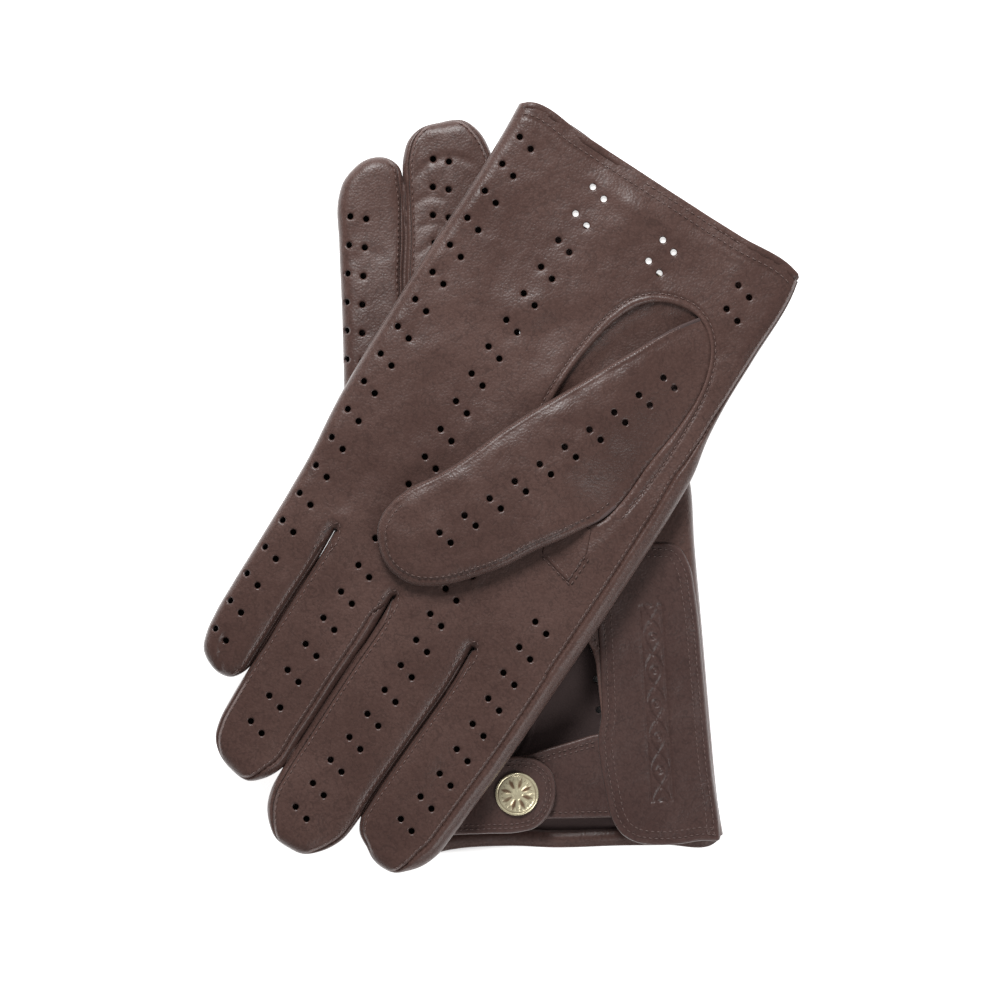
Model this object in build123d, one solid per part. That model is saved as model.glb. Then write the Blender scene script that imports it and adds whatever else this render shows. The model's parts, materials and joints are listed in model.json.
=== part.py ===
"""A pair of men's leather driving gloves, laid one across the other.

The right glove lies on its palm with its thumb folded under it. The left glove lies on top,
palm up, with its thumb folded across the palm. Each glove is drawn in its own frame, palm up:
+X to the little finger, +Y from the cuff to the fingertips, +Z out of the palm. The left glove
keeps that frame; the right glove is its mirror image in Z, and both are then turned about Z
and set in place. The pair's frame has +Z up and its origin on the floor under the middle.
"""

import os
from dataclasses import dataclass
from math import atan, cos, degrees, pi, radians, sin
from typing import Callable

from build123d import *

# Leather
LEATHER = 0.8  # thickness of every leather panel
GAP = 0.35  # space left between pieces that move apart

# Outline of the hand, from the cuff to the knuckle line
KNUCKLE_Y = 150.6
HAND_START_Y = 0.0
THUMB_SIDE = [(-53.8, 0.0), (-54.2, 30.0), (-57.2, 60.0), (-59.6, 85.0), (-60.0, 115.0), (-59.2, KNUCKLE_Y)]
LITTLE_SIDE = [(52.6, 0.0), (52.2, 40.0), (51.4, 80.0), (50.4, 110.0), (47.9, KNUCKLE_Y)]
HEM_DEPTH = 6.0

# Height of a glove between its palm and back surfaces
HEIGHT = [(0.0, 7.8), (40.0, 8.4), (90.0, 8.8), (KNUCKLE_Y, 8.6), (200.0, 8.0), (246.0, 7.2)]
# Height above the floor of the left glove's back, where it drapes over the right glove
LEFT_DRAPE = [(0.0, 16.2), (20.0, 17.0), (50.0, 17.4), (80.0, 17.5), (110.0, 17.3), (130.0, 16.8),
              (150.0, 16.0), (180.0, 14.2), (205.0, 12.4), (246.0, 10.2)]
# The right glove arches over its own thumb
ARCH_HEIGHT = 7.3
ARCH_LENGTH = 240.0

# Thumb, folded across the palm; it folds outwards about a line just outside its left edge
THUMB_START_Y = 46.0
THUMB_SHARE = 0.84  # the thumb's thickness as a share of the arch over it
THUMB_LEFT = [(-46.6, THUMB_START_Y), (-46.7, 66.0), (-46.4, 88.0), (-31.0, 120.0), (-12.0, 140.0)]
THUMB_TIP = [(-12.0, 140.0), (4.0, 149.5), (14.6, 144.4), (18.2, 133.0)]
THUMB_RIGHT = [(18.2, 133.0), (12.0, 117.0), (-3.0, 84.0), (-10.0, 71.0), (-24.0, THUMB_START_Y)]
# Hole in the palm that the thumb is sewn into, and the small gusset at its top
THUMB_HOLE = [(-26.0, 27.5), (-13.0, 34.0), (-7.6, 54.0), (-9.5, 76.0), (-24.0, 101.0), (-40.0, 110.0),
              (-46.8, 96.0), (-47.0, 62.0), (-42.5, 37.0)]
QUIRK = [(-43.0, 121.5), (-40.6, 110.6), (-31.6, 118.6)]

# Opening in the back of the wrist
OPENING_X = -6.0
OPENING_HALF_WIDTH = 20.0
OPENING_TOP = 78.0
# Panel beside the opening, strap across it and tab that snaps onto the strap
PANEL_LEFT = 14.6
PANEL_RIGHT = 47.0
PANEL_TOP = 96.0
PANEL_CORNER = 9.0
STRAP_RIGHT = 14.0
STRAP_LEFT = -24.5
STRAP_Y = (8.6, 33.6)
TAB_ROOT = -49.0
TAB_STEP = -27.0  # where the tab rises from the back of the hand onto the strap
TAB_END = -2.6
TAB_Y = (7.4, 31.4)
SNAP_X = -15.9
SNAP_Y = 19.9
# The left glove lies on the right one's tab, so that tab opens about a line along the left glove's edge
FOLD_DISTANCE = 8.7  # from the snap's centre
FOLD_ANGLE = 47.9  # from +X
SNAP_CAP_R = 7.0
SNAP_CAP_H = 1.5
SNAP_RISE = 2.2  # height of the closed snap between strap and tab
STUD_FLANGE_R = 4.0
STUD_NIPPLE_R = 1.65
SOCKET_R = 4.6
SOCKET_BORE_R = 2.3
SHANK_R = 1.4
SHANK_HOLE_R = 1.6
METAL = 0.5
SEAT = 0.06  # play between a metal face and the leather that it is riveted to
LABEL = (38.0, 13.0, 0.35)  # blank woven label inside the palm
LABEL_AT = (3.5, 16.0)

# Where each glove lies: its cuff's middle, and the turn of its +Y axis about Z
LEFT_CUFF = (50.37, 95.34, 0.08)
LEFT_TURN = 147.25
RIGHT_CUFF = (22.27, -116.96, 0.08)
RIGHT_TURN = 6.14

FAR = 90.0  # beyond every outline


@dataclass
class Finger:
    """One finger's outline: its two straight sides and the round tip between them."""

    name: str
    left_base: float
    right_base: float
    left_tip: float
    right_tip: float
    shoulder_y: float
    tip_y: float
    fourchettes: tuple  # which sides have one: "thumb_side", "little_side"


FINGERS = [
    Finger("index", -59.0, -28.6, -55.9, -28.4, 214.0, 231.3, ("little_side",)),
    Finger("middle", -27.9, 1.0, -27.4, 0.9, 225.0, 242.4, ("thumb_side", "little_side")),
    Finger("ring", 1.6, 27.8, 2.0, 27.2, 214.5, 231.6, ("thumb_side", "little_side")),
    Finger("little", 28.4, 47.9, 28.9, 46.3, 191.0, 206.3, ("thumb_side",)),
]


def between(points: list, y: float) -> float:
    """Height at y on the straight runs between points of (y, z)."""
    for (y0, z0), (y1, z1) in zip(points, points[1:]):
        if y <= y1:
            return z0 + (z1 - z0) * (y - y0) / (y1 - y0)
    return points[-1][1]


def arch(y: float) -> float:
    """Height of the right glove's palm above the floor: one smooth hump."""
    return ARCH_HEIGHT * 0.5 * (1 - cos(2 * pi * min(y, ARCH_LENGTH) / ARCH_LENGTH))


def left_palm(y: float) -> float:
    """Height of the left glove's palm surface."""
    return between(LEFT_DRAPE, y) + between(HEIGHT, y)


def right_palm(y: float) -> float:
    """The same for the right glove, measured in its palm-up frame."""
    return -arch(y)


STATIONS = [0.0, 20.0, 50.0, 80.0, 110.0, 130.0, 150.0, 180.0, 205.0, 246.0]
THUMB_STATIONS = [46.0, 60.0, 80.0, 105.0, 130.0, 152.0]


def sheet(palm: Callable, low: Callable, high: Callable, stations: list = STATIONS) -> Part:
    """A slab across the whole glove that follows its drape from palm(y) - low(y) to palm(y) - high(y)."""
    bottom = Spline(*[(y, palm(y) - low(y)) for y in stations])
    top = Spline(*[(y, palm(y) - high(y)) for y in stations])
    ends = [Line(bottom @ 0, top @ 0), Line(bottom @ 1, top @ 1)]
    face = make_face([bottom, top, *ends])
    return Pos(-FAR, 0, 0) * extrude(Plane.YZ * face, amount=2 * FAR)


def flat(depth: float) -> Callable:
    """A constant depth below the palm surface."""
    return lambda y: depth


def below_back(depth: float) -> Callable:
    """A depth that is measured outwards from the back surface, so it grows with the glove's height."""
    return lambda y: between(HEIGHT, y) + depth


def prism(outline: Face) -> Part:
    """The outline drawn in plan, as a block taller than the glove."""
    return Pos(0, 0, -FAR) * extrude(outline, amount=2 * FAR)


def hand_outline(inset: float) -> Face:
    """Plan of the hand between the cuff and the knuckle line."""
    left = [(x + inset, y) for x, y in THUMB_SIDE]
    right = [(x - inset, y) for x, y in LITTLE_SIDE]
    sides = [Spline(*left), Spline(*right)]
    return make_face([*sides, Line(left[0], right[0]), Line(left[-1], right[-1])])


def finger_outline(finger: Finger, inset: float) -> Face:
    """Plan of one finger from the knuckle line to its tip, drawn inset inside its outline."""
    start_y = KNUCKLE_Y + GAP
    base = [(finger.left_base + inset, start_y), (finger.right_base - inset, start_y)]
    shoulder = [(finger.left_tip + inset, finger.shoulder_y), (finger.right_tip - inset, finger.shoulder_y)]
    centre = ((finger.left_tip + finger.right_tip) / 2, finger.shoulder_y)
    half_width = (finger.right_tip - finger.left_tip) / 2 - inset
    tip = EllipticalCenterArc(centre, half_width, finger.tip_y - finger.shoulder_y - inset, arc_size=180)
    return make_face([Line(base[0], base[1]), Line(base[1], shoulder[1]), tip, Line(shoulder[0], base[0])])


def band(y0: float, y1: float) -> Part:
    """Everything between two distances from the cuff."""
    return Pos(0, (y0 + y1) / 2, 0) * Box(2 * FAR, y1 - y0, 2 * FAR)


def thumb_outline(inset: float) -> Face:
    """Plan of the folded thumb."""
    shift = Vector(inset, 0)
    left = Spline(*[Vector(*p) + shift for p in THUMB_LEFT])
    right = Spline(*[Vector(*p) - shift for p in THUMB_RIGHT])
    inner = [(x * (1 - inset / 40), y - inset) for x, y in THUMB_TIP[1:-1]]
    tip = Spline(left @ 1, *inner, right @ 0)
    return make_face([left, tip, right, Line(right @ 1, left @ 0)])


def thumb_hole() -> Face:
    """Plan of the oval hole that the thumb is sewn into."""
    return make_face(Spline(*THUMB_HOLE, periodic=True))


def opening_outline(inset: float) -> Face:
    """Plan of the wrist opening: straight sides from the hem and a round top."""
    width = OPENING_HALF_WIDTH - inset
    straight_y = OPENING_TOP - OPENING_HALF_WIDTH
    block = Pos(OPENING_X, (straight_y - FAR) / 2) * Rectangle(2 * width, straight_y + FAR)
    return block + Pos(OPENING_X, straight_y) * Circle(width)


def palm_leather(palm: Callable) -> Part:
    """The palm from hem to knuckles, with the thumb hole."""
    panel = sheet(palm, flat(LEATHER), flat(0)) & prism(hand_outline(0))
    return panel - prism(thumb_hole()) - prism(Polygon(*QUIRK, align=None))


def walls(palm: Callable, outline: Face, inner: Face) -> Part:
    """Upright edges between the palm and back panels."""
    space = sheet(palm, below_back(-LEATHER), flat(LEATHER))
    return space & (prism(outline) - prism(inner))


def back_leather(palm: Callable) -> Part:
    """The back of the hand, with the wrist opening and the sides that turn up to the palm."""
    panel = sheet(palm, below_back(0), below_back(-LEATHER)) & prism(hand_outline(0))
    panel = panel - prism(opening_outline(0))
    sides = walls(palm, hand_outline(0), hand_outline(LEATHER))
    sides = sides & band(HAND_START_Y + GAP, KNUCKLE_Y)
    return panel + sides


def hems(palm: Callable) -> dict:
    """The turned-in edges of the cuff, inside the palm and inside the back."""
    strip = band(HAND_START_Y, HEM_DEPTH) & prism(hand_outline(LEATHER + GAP))
    palm_hem = sheet(palm, flat(2 * LEATHER), flat(LEATHER)) & strip
    back_hem = sheet(palm, below_back(-LEATHER), below_back(-2 * LEATHER)) & strip
    return {"palm_hem": palm_hem, "back_hem": back_hem - prism(opening_outline(-GAP))}


def thumb_gusset(palm: Callable) -> Part:
    """The thumb's under layer, which fills the hole in the palm."""
    return sheet(palm, flat(LEATHER), flat(0)) & prism(thumb_hole())


def thumb_quirk(palm: Callable) -> Part:
    """The small three-cornered gusset above the thumb hole."""
    return sheet(palm, flat(LEATHER), flat(0)) & prism(Polygon(*QUIRK, align=None))


def thumb_leather(palm: Callable) -> Part:
    """The thumb: a flattened tube that lies on the palm, open at its root."""

    def rise(y: float) -> float:
        return -GAP - arch(y) * THUMB_SHARE

    outside = sheet(palm, flat(-GAP), rise, THUMB_STATIONS) & prism(thumb_outline(0))
    core = sheet(palm, flat(-GAP - LEATHER), lambda y: rise(y) + LEATHER, THUMB_STATIONS)
    inside = core & prism(thumb_outline(LEATHER))
    return outside - inside


def finger_parts(palm: Callable, finger: Finger) -> dict:
    """Front, back and side strips of one finger."""
    outline = prism(finger_outline(finger, 0))
    front = sheet(palm, flat(LEATHER), flat(0)) & outline
    back = sheet(palm, below_back(0), below_back(-LEATHER)) & outline
    ring = walls(palm, finger_outline(finger, 0), finger_outline(finger, LEATHER))
    back = back + (ring & band(finger.shoulder_y, FAR * 3))
    middle_x = (finger.left_base + finger.right_base) / 2
    straight = ring & band(KNUCKLE_Y, finger.shoulder_y)
    halves = {
        "thumb_side": straight & (Pos(middle_x - FAR, 0, 0) * Box(2 * FAR, 6 * FAR, 2 * FAR)),
        "little_side": straight & (Pos(middle_x + FAR, 0, 0) * Box(2 * FAR, 6 * FAR, 2 * FAR)),
    }
    parts = {f"{finger.name}_front": front}
    for side, strip in halves.items():
        if side in finger.fourchettes:
            parts[f"{finger.name}_fourchette_{side}"] = strip
        else:
            back = back + strip
    parts[f"{finger.name}_back"] = back
    return parts


def cuff_panel(palm: Callable) -> Part:
    """The panel on the back beside the wrist opening."""
    size = (PANEL_RIGHT - PANEL_LEFT, PANEL_TOP)
    outline = Pos((PANEL_LEFT + PANEL_RIGHT) / 2, PANEL_TOP / 2) * RectangleRounded(*size, PANEL_CORNER)
    return sheet(palm, below_back(LEATHER), below_back(0)) & prism(outline)


def wrist_strap(palm: Callable) -> Part:
    """The strap that crosses the opening under the tab, with the hole for the stud's shank."""
    size = (STRAP_RIGHT - STRAP_LEFT, STRAP_Y[1] - STRAP_Y[0])
    outline = Pos((STRAP_LEFT + STRAP_RIGHT) / 2, sum(STRAP_Y) / 2) * Rectangle(*size)
    hole = Pos(SNAP_X, SNAP_Y) * Circle(SHANK_HOLE_R)
    return sheet(palm, below_back(0), below_back(-LEATHER)) & prism(outline - hole)


def snap_place(palm: Callable) -> Location:
    """The snap's centre on the strap's outer face, tilted to the slope that the strap has there."""

    def back(y: float) -> float:
        return palm(y) - between(HEIGHT, y)

    reach = 6.0
    slope = (back(SNAP_Y + reach) - back(SNAP_Y - reach)) / (2 * reach)
    return Pos(SNAP_X, SNAP_Y, back(SNAP_Y)) * Rot(degrees(atan(slope)), 0, 0)


def snap_parts(palm: Callable) -> dict:
    """Stud and post on the strap, socket and cap on the tab. Outwards from the back is -Z."""
    place = snap_place(palm)

    def disc(radius: float, start: float, height: float) -> Part:
        return place * Pos(0, 0, -start - height / 2) * Cylinder(radius, height)

    stud = disc(STUD_FLANGE_R, SEAT, METAL) + disc(STUD_NIPPLE_R, SEAT, SNAP_RISE - METAL)
    flange_start = -LEATHER - METAL - SEAT
    post = disc(STUD_FLANGE_R, flange_start, METAL) + disc(SHANK_R, flange_start, METAL + LEATHER + SEAT)
    socket_start = METAL + GAP + SEAT
    socket_height = SNAP_RISE - socket_start - SEAT
    socket = disc(SOCKET_R, socket_start, socket_height) - disc(SOCKET_BORE_R, socket_start, socket_height)
    dome_start = SNAP_RISE + LEATHER + SEAT
    dome = disc(SNAP_CAP_R, dome_start, SNAP_CAP_H)
    rim = dome.edges().filter_by(GeomType.CIRCLE).sort_by(Axis.Z)[0]
    cap = fillet(rim, SNAP_CAP_H * 0.85) + disc(SHANK_R, SNAP_RISE - SEAT, LEATHER + 2 * SEAT)
    return {"snap_stud": stud, "snap_post": post, "snap_socket": socket, "snap_cap": cap}


def snap_tab(palm: Callable) -> Part:
    """The tab: flat on the back at its root, then up a step and over the snap."""
    half = (TAB_Y[1] - TAB_Y[0]) / 2
    middle_y = TAB_Y[0] + half
    straight_end = TAB_END - half
    straight = Pos((TAB_ROOT + straight_end) / 2, middle_y) * Rectangle(straight_end - TAB_ROOT, 2 * half)
    hole = Pos(SNAP_X, SNAP_Y) * Circle(SHANK_HOLE_R)
    outline = prism(straight + Pos(straight_end, middle_y) * Circle(half) - hole)
    low_end = Pos(TAB_STEP - FAR, 0, 0) * Box(2 * FAR, 4 * FAR, 4 * FAR)
    step = Pos(TAB_STEP - LEATHER / 2, 0, 0) * Box(LEATHER, 4 * FAR, 4 * FAR)
    low = sheet(palm, below_back(GAP + LEATHER), below_back(GAP)) & low_end
    high = sheet(palm, below_back(SNAP_RISE + LEATHER), below_back(SNAP_RISE)) - low_end
    riser = sheet(palm, below_back(SNAP_RISE + LEATHER), below_back(GAP)) & step
    return (low + high + riser) & outline


def fold_line() -> Location:
    """A point on the tab's fold, turned so that its X runs along the fold and +Y away from the snap."""
    across = FOLD_ANGLE + 90
    x = SNAP_X + FOLD_DISTANCE * cos(radians(across))
    y = SNAP_Y + FOLD_DISTANCE * sin(radians(across))
    return Pos(x, y, 0) * Rot(0, 0, FOLD_ANGLE)


def split_tab(tab: Part) -> dict:
    """The flap that opens and the root that stays sewn down, parted along the fold."""
    beyond = Box(4 * FAR, 4 * FAR, 4 * FAR)
    flap = tab - fold_line() * Pos(0, 2 * FAR - GAP / 2, 0) * beyond
    root = tab - fold_line() * Pos(0, -2 * FAR + GAP / 2, 0) * beyond
    return {"snap_tab": flap, "tab_root": root}


def size_label(palm: Callable) -> Part:
    """The blank label, sewn flat inside the palm."""
    outline = Pos(*LABEL_AT) * Rectangle(LABEL[0], LABEL[1])
    return sheet(palm, flat(LEATHER + SEAT + LABEL[2]), flat(LEATHER + SEAT)) & prism(outline)


def glove(palm: Callable) -> dict:
    """Every piece of one glove in its own palm-up frame."""
    pieces = {
        "palm": palm_leather(palm),
        "back": back_leather(palm),
        "thumb_gusset": thumb_gusset(palm),
        "thumb_quirk": thumb_quirk(palm),
        "thumb": thumb_leather(palm),
        "cuff_panel": cuff_panel(palm),
        "wrist_strap": wrist_strap(palm),
        "snap_tab": snap_tab(palm),
        "size_label": size_label(palm),
    }
    pieces.update(hems(palm))
    pieces.update(snap_parts(palm))
    for finger in FINGERS:
        pieces.update(finger_parts(palm, finger))
    return pieces


def main() -> None:
    """Builds both gloves, sets them in place and writes one file for each piece."""
    os.makedirs("parts", exist_ok=True)
    left_place = Pos(*LEFT_CUFF) * Rot(0, 0, LEFT_TURN)
    right_place = Pos(*RIGHT_CUFF) * Rot(0, 0, RIGHT_TURN)
    for name, piece in glove(left_palm).items():
        export_step(left_place * piece, f"parts/left_{name}.step")
    right = glove(right_palm)
    right.update(split_tab(right["snap_tab"]))
    for name, piece in right.items():
        export_step(right_place * mirror(piece, about=Plane.XY), f"parts/right_{name}.step")


main()
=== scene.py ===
"""The finished look of a pair of leather driving gloves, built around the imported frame.

Each glove is worked out in its own frame in millimetres, palm up: +X to the little finger, +Y from
the cuff to the fingertips, +Z out of the palm. The lower glove is that shape turned over. A glove is
a soft flat shell: every leather panel is a flat pattern, cut with its punched holes, and lifted onto
the shell's palm side or back side.
"""

import json
import logging
import math
from dataclasses import dataclass, field
from enum import Enum
from typing import Callable

import bmesh
import bpy
import numpy as np
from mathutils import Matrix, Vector
from mathutils.geometry import delaunay_2d_cdt

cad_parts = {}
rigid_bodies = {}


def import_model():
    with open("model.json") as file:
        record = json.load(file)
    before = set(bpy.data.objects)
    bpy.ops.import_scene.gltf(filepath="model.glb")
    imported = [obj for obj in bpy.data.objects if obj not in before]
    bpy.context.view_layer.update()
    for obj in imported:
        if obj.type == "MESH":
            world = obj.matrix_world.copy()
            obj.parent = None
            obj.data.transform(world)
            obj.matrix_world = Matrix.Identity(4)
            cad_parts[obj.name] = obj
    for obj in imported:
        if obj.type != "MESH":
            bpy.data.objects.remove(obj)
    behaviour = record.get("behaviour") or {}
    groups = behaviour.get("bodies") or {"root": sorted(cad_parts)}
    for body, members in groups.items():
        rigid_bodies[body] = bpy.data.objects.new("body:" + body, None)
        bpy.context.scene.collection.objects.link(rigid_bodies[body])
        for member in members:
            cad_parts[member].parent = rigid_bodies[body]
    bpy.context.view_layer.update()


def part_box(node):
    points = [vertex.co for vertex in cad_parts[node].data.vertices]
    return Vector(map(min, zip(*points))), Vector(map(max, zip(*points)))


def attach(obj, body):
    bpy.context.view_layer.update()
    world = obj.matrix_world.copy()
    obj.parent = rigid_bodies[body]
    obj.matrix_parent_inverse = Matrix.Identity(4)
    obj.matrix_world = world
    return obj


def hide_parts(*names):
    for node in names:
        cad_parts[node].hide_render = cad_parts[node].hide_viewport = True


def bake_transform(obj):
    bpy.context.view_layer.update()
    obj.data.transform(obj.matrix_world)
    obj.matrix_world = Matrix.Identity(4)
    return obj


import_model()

MM = 0.001
LOG = logging.getLogger("gloves")
Height = Callable[[np.ndarray], np.ndarray]


class Side(Enum):
    """Which glove of the pair, which is also the first word of its nodes' names."""

    LEFT = "left"
    RIGHT = "right"


class Face(Enum):
    """Which side of the shell a panel lies on, as the sign of its outward direction along Z."""

    PALM = 1.0
    BACK = -1.0


# ---------------------------------------------------------------------------------------------
# Curves and fields in the plane


def smoothstep(t: np.ndarray) -> np.ndarray:
    """A share from 0 to 1 that leaves both ends gently: 3t^2 - 2t^3."""
    t = np.clip(t, 0.0, 1.0)
    return t * t * (3.0 - 2.0 * t)


def hermite(knots: np.ndarray, values: np.ndarray, at: np.ndarray) -> np.ndarray:
    """Smooth curve through values at the knots: cubic pieces whose slopes are the central differences.

    Args:
        knots: rising positions, shape (n,).
        values: what the curve passes through, shape (n,) or (n, k).
        at: positions to read.

    Returns:
        The curve at those positions.
    """
    slopes = np.gradient(values, knots, axis=0)
    i = np.clip(np.searchsorted(knots, at) - 1, 0, len(knots) - 2)
    span = knots[i + 1] - knots[i]
    u = (at - knots[i]) / span
    if values.ndim == 2:
        u, span = u[:, None], span[:, None]
    a, b, c, d = 2 * u**3 - 3 * u**2 + 1, u**3 - 2 * u**2 + u, 3 * u**2 - 2 * u**3, u**3 - u**2
    return a * values[i] + b * span * slopes[i] + c * values[i + 1] + d * span * slopes[i + 1]


def profile(points: tuple, at: np.ndarray) -> np.ndarray:
    """Smooth height through (position, height) points."""
    table = np.array(points, float)
    return hermite(table[:, 0], table[:, 1], np.clip(at, table[0, 0], table[-1, 0]))


def curve(points: tuple, step: float = 1.2, closed: bool = False) -> np.ndarray:
    """Smooth line through points in the plane, sampled about every step.

    Args:
        points: what the line passes through.
        step: distance between samples.
        closed: whether it runs round to its start.

    Returns:
        The samples; a closed line does not repeat its first.
    """
    p = np.array(points, float)
    if closed:
        p = np.vstack([p[-3:], p, p[:4]])
    chord = np.concatenate([[0.0], np.cumsum(np.linalg.norm(np.diff(p, axis=0), axis=1))])
    first, last = (chord[3], chord[-4]) if closed else (0.0, chord[-1])
    count = max(3, int(round((last - first) / step)) + 1)
    at = np.linspace(first, last, count)
    return hermite(chord, p, at[:-1] if closed else at)


def lengths(path: np.ndarray) -> np.ndarray:
    """Distance travelled along the path at each of its points."""
    return np.concatenate([[0.0], np.cumsum(np.linalg.norm(np.diff(path, axis=0), axis=1))])


def read(path: np.ndarray, run: np.ndarray, at: np.ndarray) -> np.ndarray:
    """The points of a path at given distances along it."""
    return np.column_stack([np.interp(at, run, path[:, k]) for k in range(path.shape[1])])


def resample(path: np.ndarray, step: float) -> np.ndarray:
    """The same path with evenly spaced points."""
    run = lengths(path)
    return read(path, run, np.linspace(0.0, run[-1], max(2, int(round(run[-1] / step)) + 1)))


def inward(path: np.ndarray, closed: bool = False) -> np.ndarray:
    """Unit normals on the right-hand side of a path, which is the inside of a clockwise outline.

    Args:
        path: points along a line.
        closed: whether it runs round to its start.

    Returns:
        One normal for each point.
    """
    tangent = np.roll(path, -1, axis=0) - np.roll(path, 1, axis=0) if closed else np.gradient(path, axis=0)
    tangent /= np.linalg.norm(tangent, axis=1, keepdims=True) + 1e-12
    return np.column_stack([tangent[:, 1], -tangent[:, 0]])


def nearest(at: np.ndarray, path: np.ndarray) -> tuple:
    """Distance from each point to the nearest place on a path, and that place as a share of its length.

    Args:
        at: points of the plane.
        path: points along a line.

    Returns:
        The distances and the shares.
    """
    a, ab = path[:-1], np.diff(path, axis=0)
    squared = (ab**2).sum(1) + 1e-12
    run = lengths(path)
    distance, share = np.empty(len(at)), np.empty(len(at))
    block = max(1, 2_000_000 // len(a))
    for start in range(0, len(at), block):
        rows = slice(start, start + block)
        gap = at[rows, None, :] - a[None]
        t = np.clip((gap * ab).sum(2) / squared, 0.0, 1.0)
        far = ((gap - t[..., None] * ab) ** 2).sum(2)
        k = far.argmin(1)
        line = np.arange(len(k))
        distance[rows] = np.sqrt(far[line, k])
        share[rows] = (run[k] + t[line, k] * (run[k + 1] - run[k])) / run[-1]
    return distance, share


def inside(at: np.ndarray, loop: np.ndarray) -> np.ndarray:
    """True for the points inside a closed loop: a ray along +X crosses it an odd number of times.

    Args:
        at: points of the plane.
        loop: points round the loop.

    Returns:
        One truth value for each point.
    """
    x0, y0 = loop.T
    x1, y1 = np.roll(loop, -1, axis=0).T
    result = np.zeros(len(at), bool)
    block = max(1, 4_000_000 // len(loop))
    for start in range(0, len(at), block):
        x, y = at[start : start + block, :1], at[start : start + block, 1:]
        crosses = (y0 <= y) != (y1 <= y)
        meets = x0 + (y - y0) * (x1 - x0) / np.where(y1 == y0, 1e-9, y1 - y0)
        result[start : start + block] = (crosses & (x < meets)).sum(1) % 2 == 1
    return result


def ripples(at: np.ndarray, wavelength: float, seed: int, waves: int = 14) -> np.ndarray:
    """Random soft hills of unit height: a sum of cosine waves in random directions with random phases.

    Args:
        at: points of the plane.
        wavelength: the usual width of a hill and a hollow.
        seed: of the random draws.
        waves: how many are added.

    Returns:
        The height at each point.
    """
    rng = np.random.default_rng(seed)
    angle = rng.uniform(0, 2 * math.pi, waves)
    number = 2 * math.pi / (wavelength * rng.uniform(0.7, 1.6, waves))
    phase = rng.uniform(0, 2 * math.pi, waves)
    direction = np.stack([np.cos(angle), np.sin(angle)]) * number
    return np.cos(at @ direction + phase).sum(1) / math.sqrt(waves / 2)


@dataclass(frozen=True)
class Crease:
    """A soft ridge, or with a negative height a groove, along a line, that fades at its ends."""

    line: tuple
    height: float
    width: float
    fade: float = 0.2

    def lift(self, at: np.ndarray) -> np.ndarray:
        """Height times a bell across the line, times a smooth rise and fall along it.

        Args:
            at: points of the plane.

        Returns:
            The height at each point.
        """
        distance, share = nearest(at, curve(self.line))
        ends = smoothstep(share / self.fade) * smoothstep((1 - share) / self.fade)
        return self.height * np.exp(-((distance / self.width) ** 2)) * ends


@dataclass(frozen=True)
class Swell:
    """A soft oval hill, or with a negative height a hollow."""

    centre: tuple
    radii: tuple
    turn: float
    height: float

    def lift(self, at: np.ndarray) -> np.ndarray:
        """Height times a bell in the oval's own turned directions.

        Args:
            at: points of the plane.

        Returns:
            The height at each point.
        """
        c, s = math.cos(math.radians(self.turn)), math.sin(math.radians(self.turn))
        offset = at - np.array(self.centre)
        u = (offset @ np.array([c, s])) / self.radii[0]
        v = (offset @ np.array([-s, c])) / self.radii[1]
        return self.height * np.exp(-(u * u + v * v))


# ---------------------------------------------------------------------------------------------
# Meshes


def ring_points(path: np.ndarray, offsets: tuple) -> np.ndarray:
    """Rows of points beside a path at the given distances on its right-hand side.

    Args:
        path: points along a line.
        offsets: distances from it.

    Returns:
        The rows one after another, without points that the path comes nearer to.
    """
    normal = inward(path)
    rows = [path + normal * offset for offset in offsets]
    kept = [row[nearest(row, path)[0] > 0.8 * abs(offset)] for row, offset in zip(rows, offsets)]
    return np.vstack(kept)


def circles(centres: np.ndarray, radius: float, count: int = 14) -> list:
    """A closed ring of points around each centre.

    Args:
        centres: their middles.
        radius: their radius.
        count: points in each.

    Returns:
        The rings.
    """
    angle = np.arange(count) * 2 * math.pi / count
    ring = radius * np.column_stack([np.cos(angle), np.sin(angle)])
    return [centre + ring for centre in centres]


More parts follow.
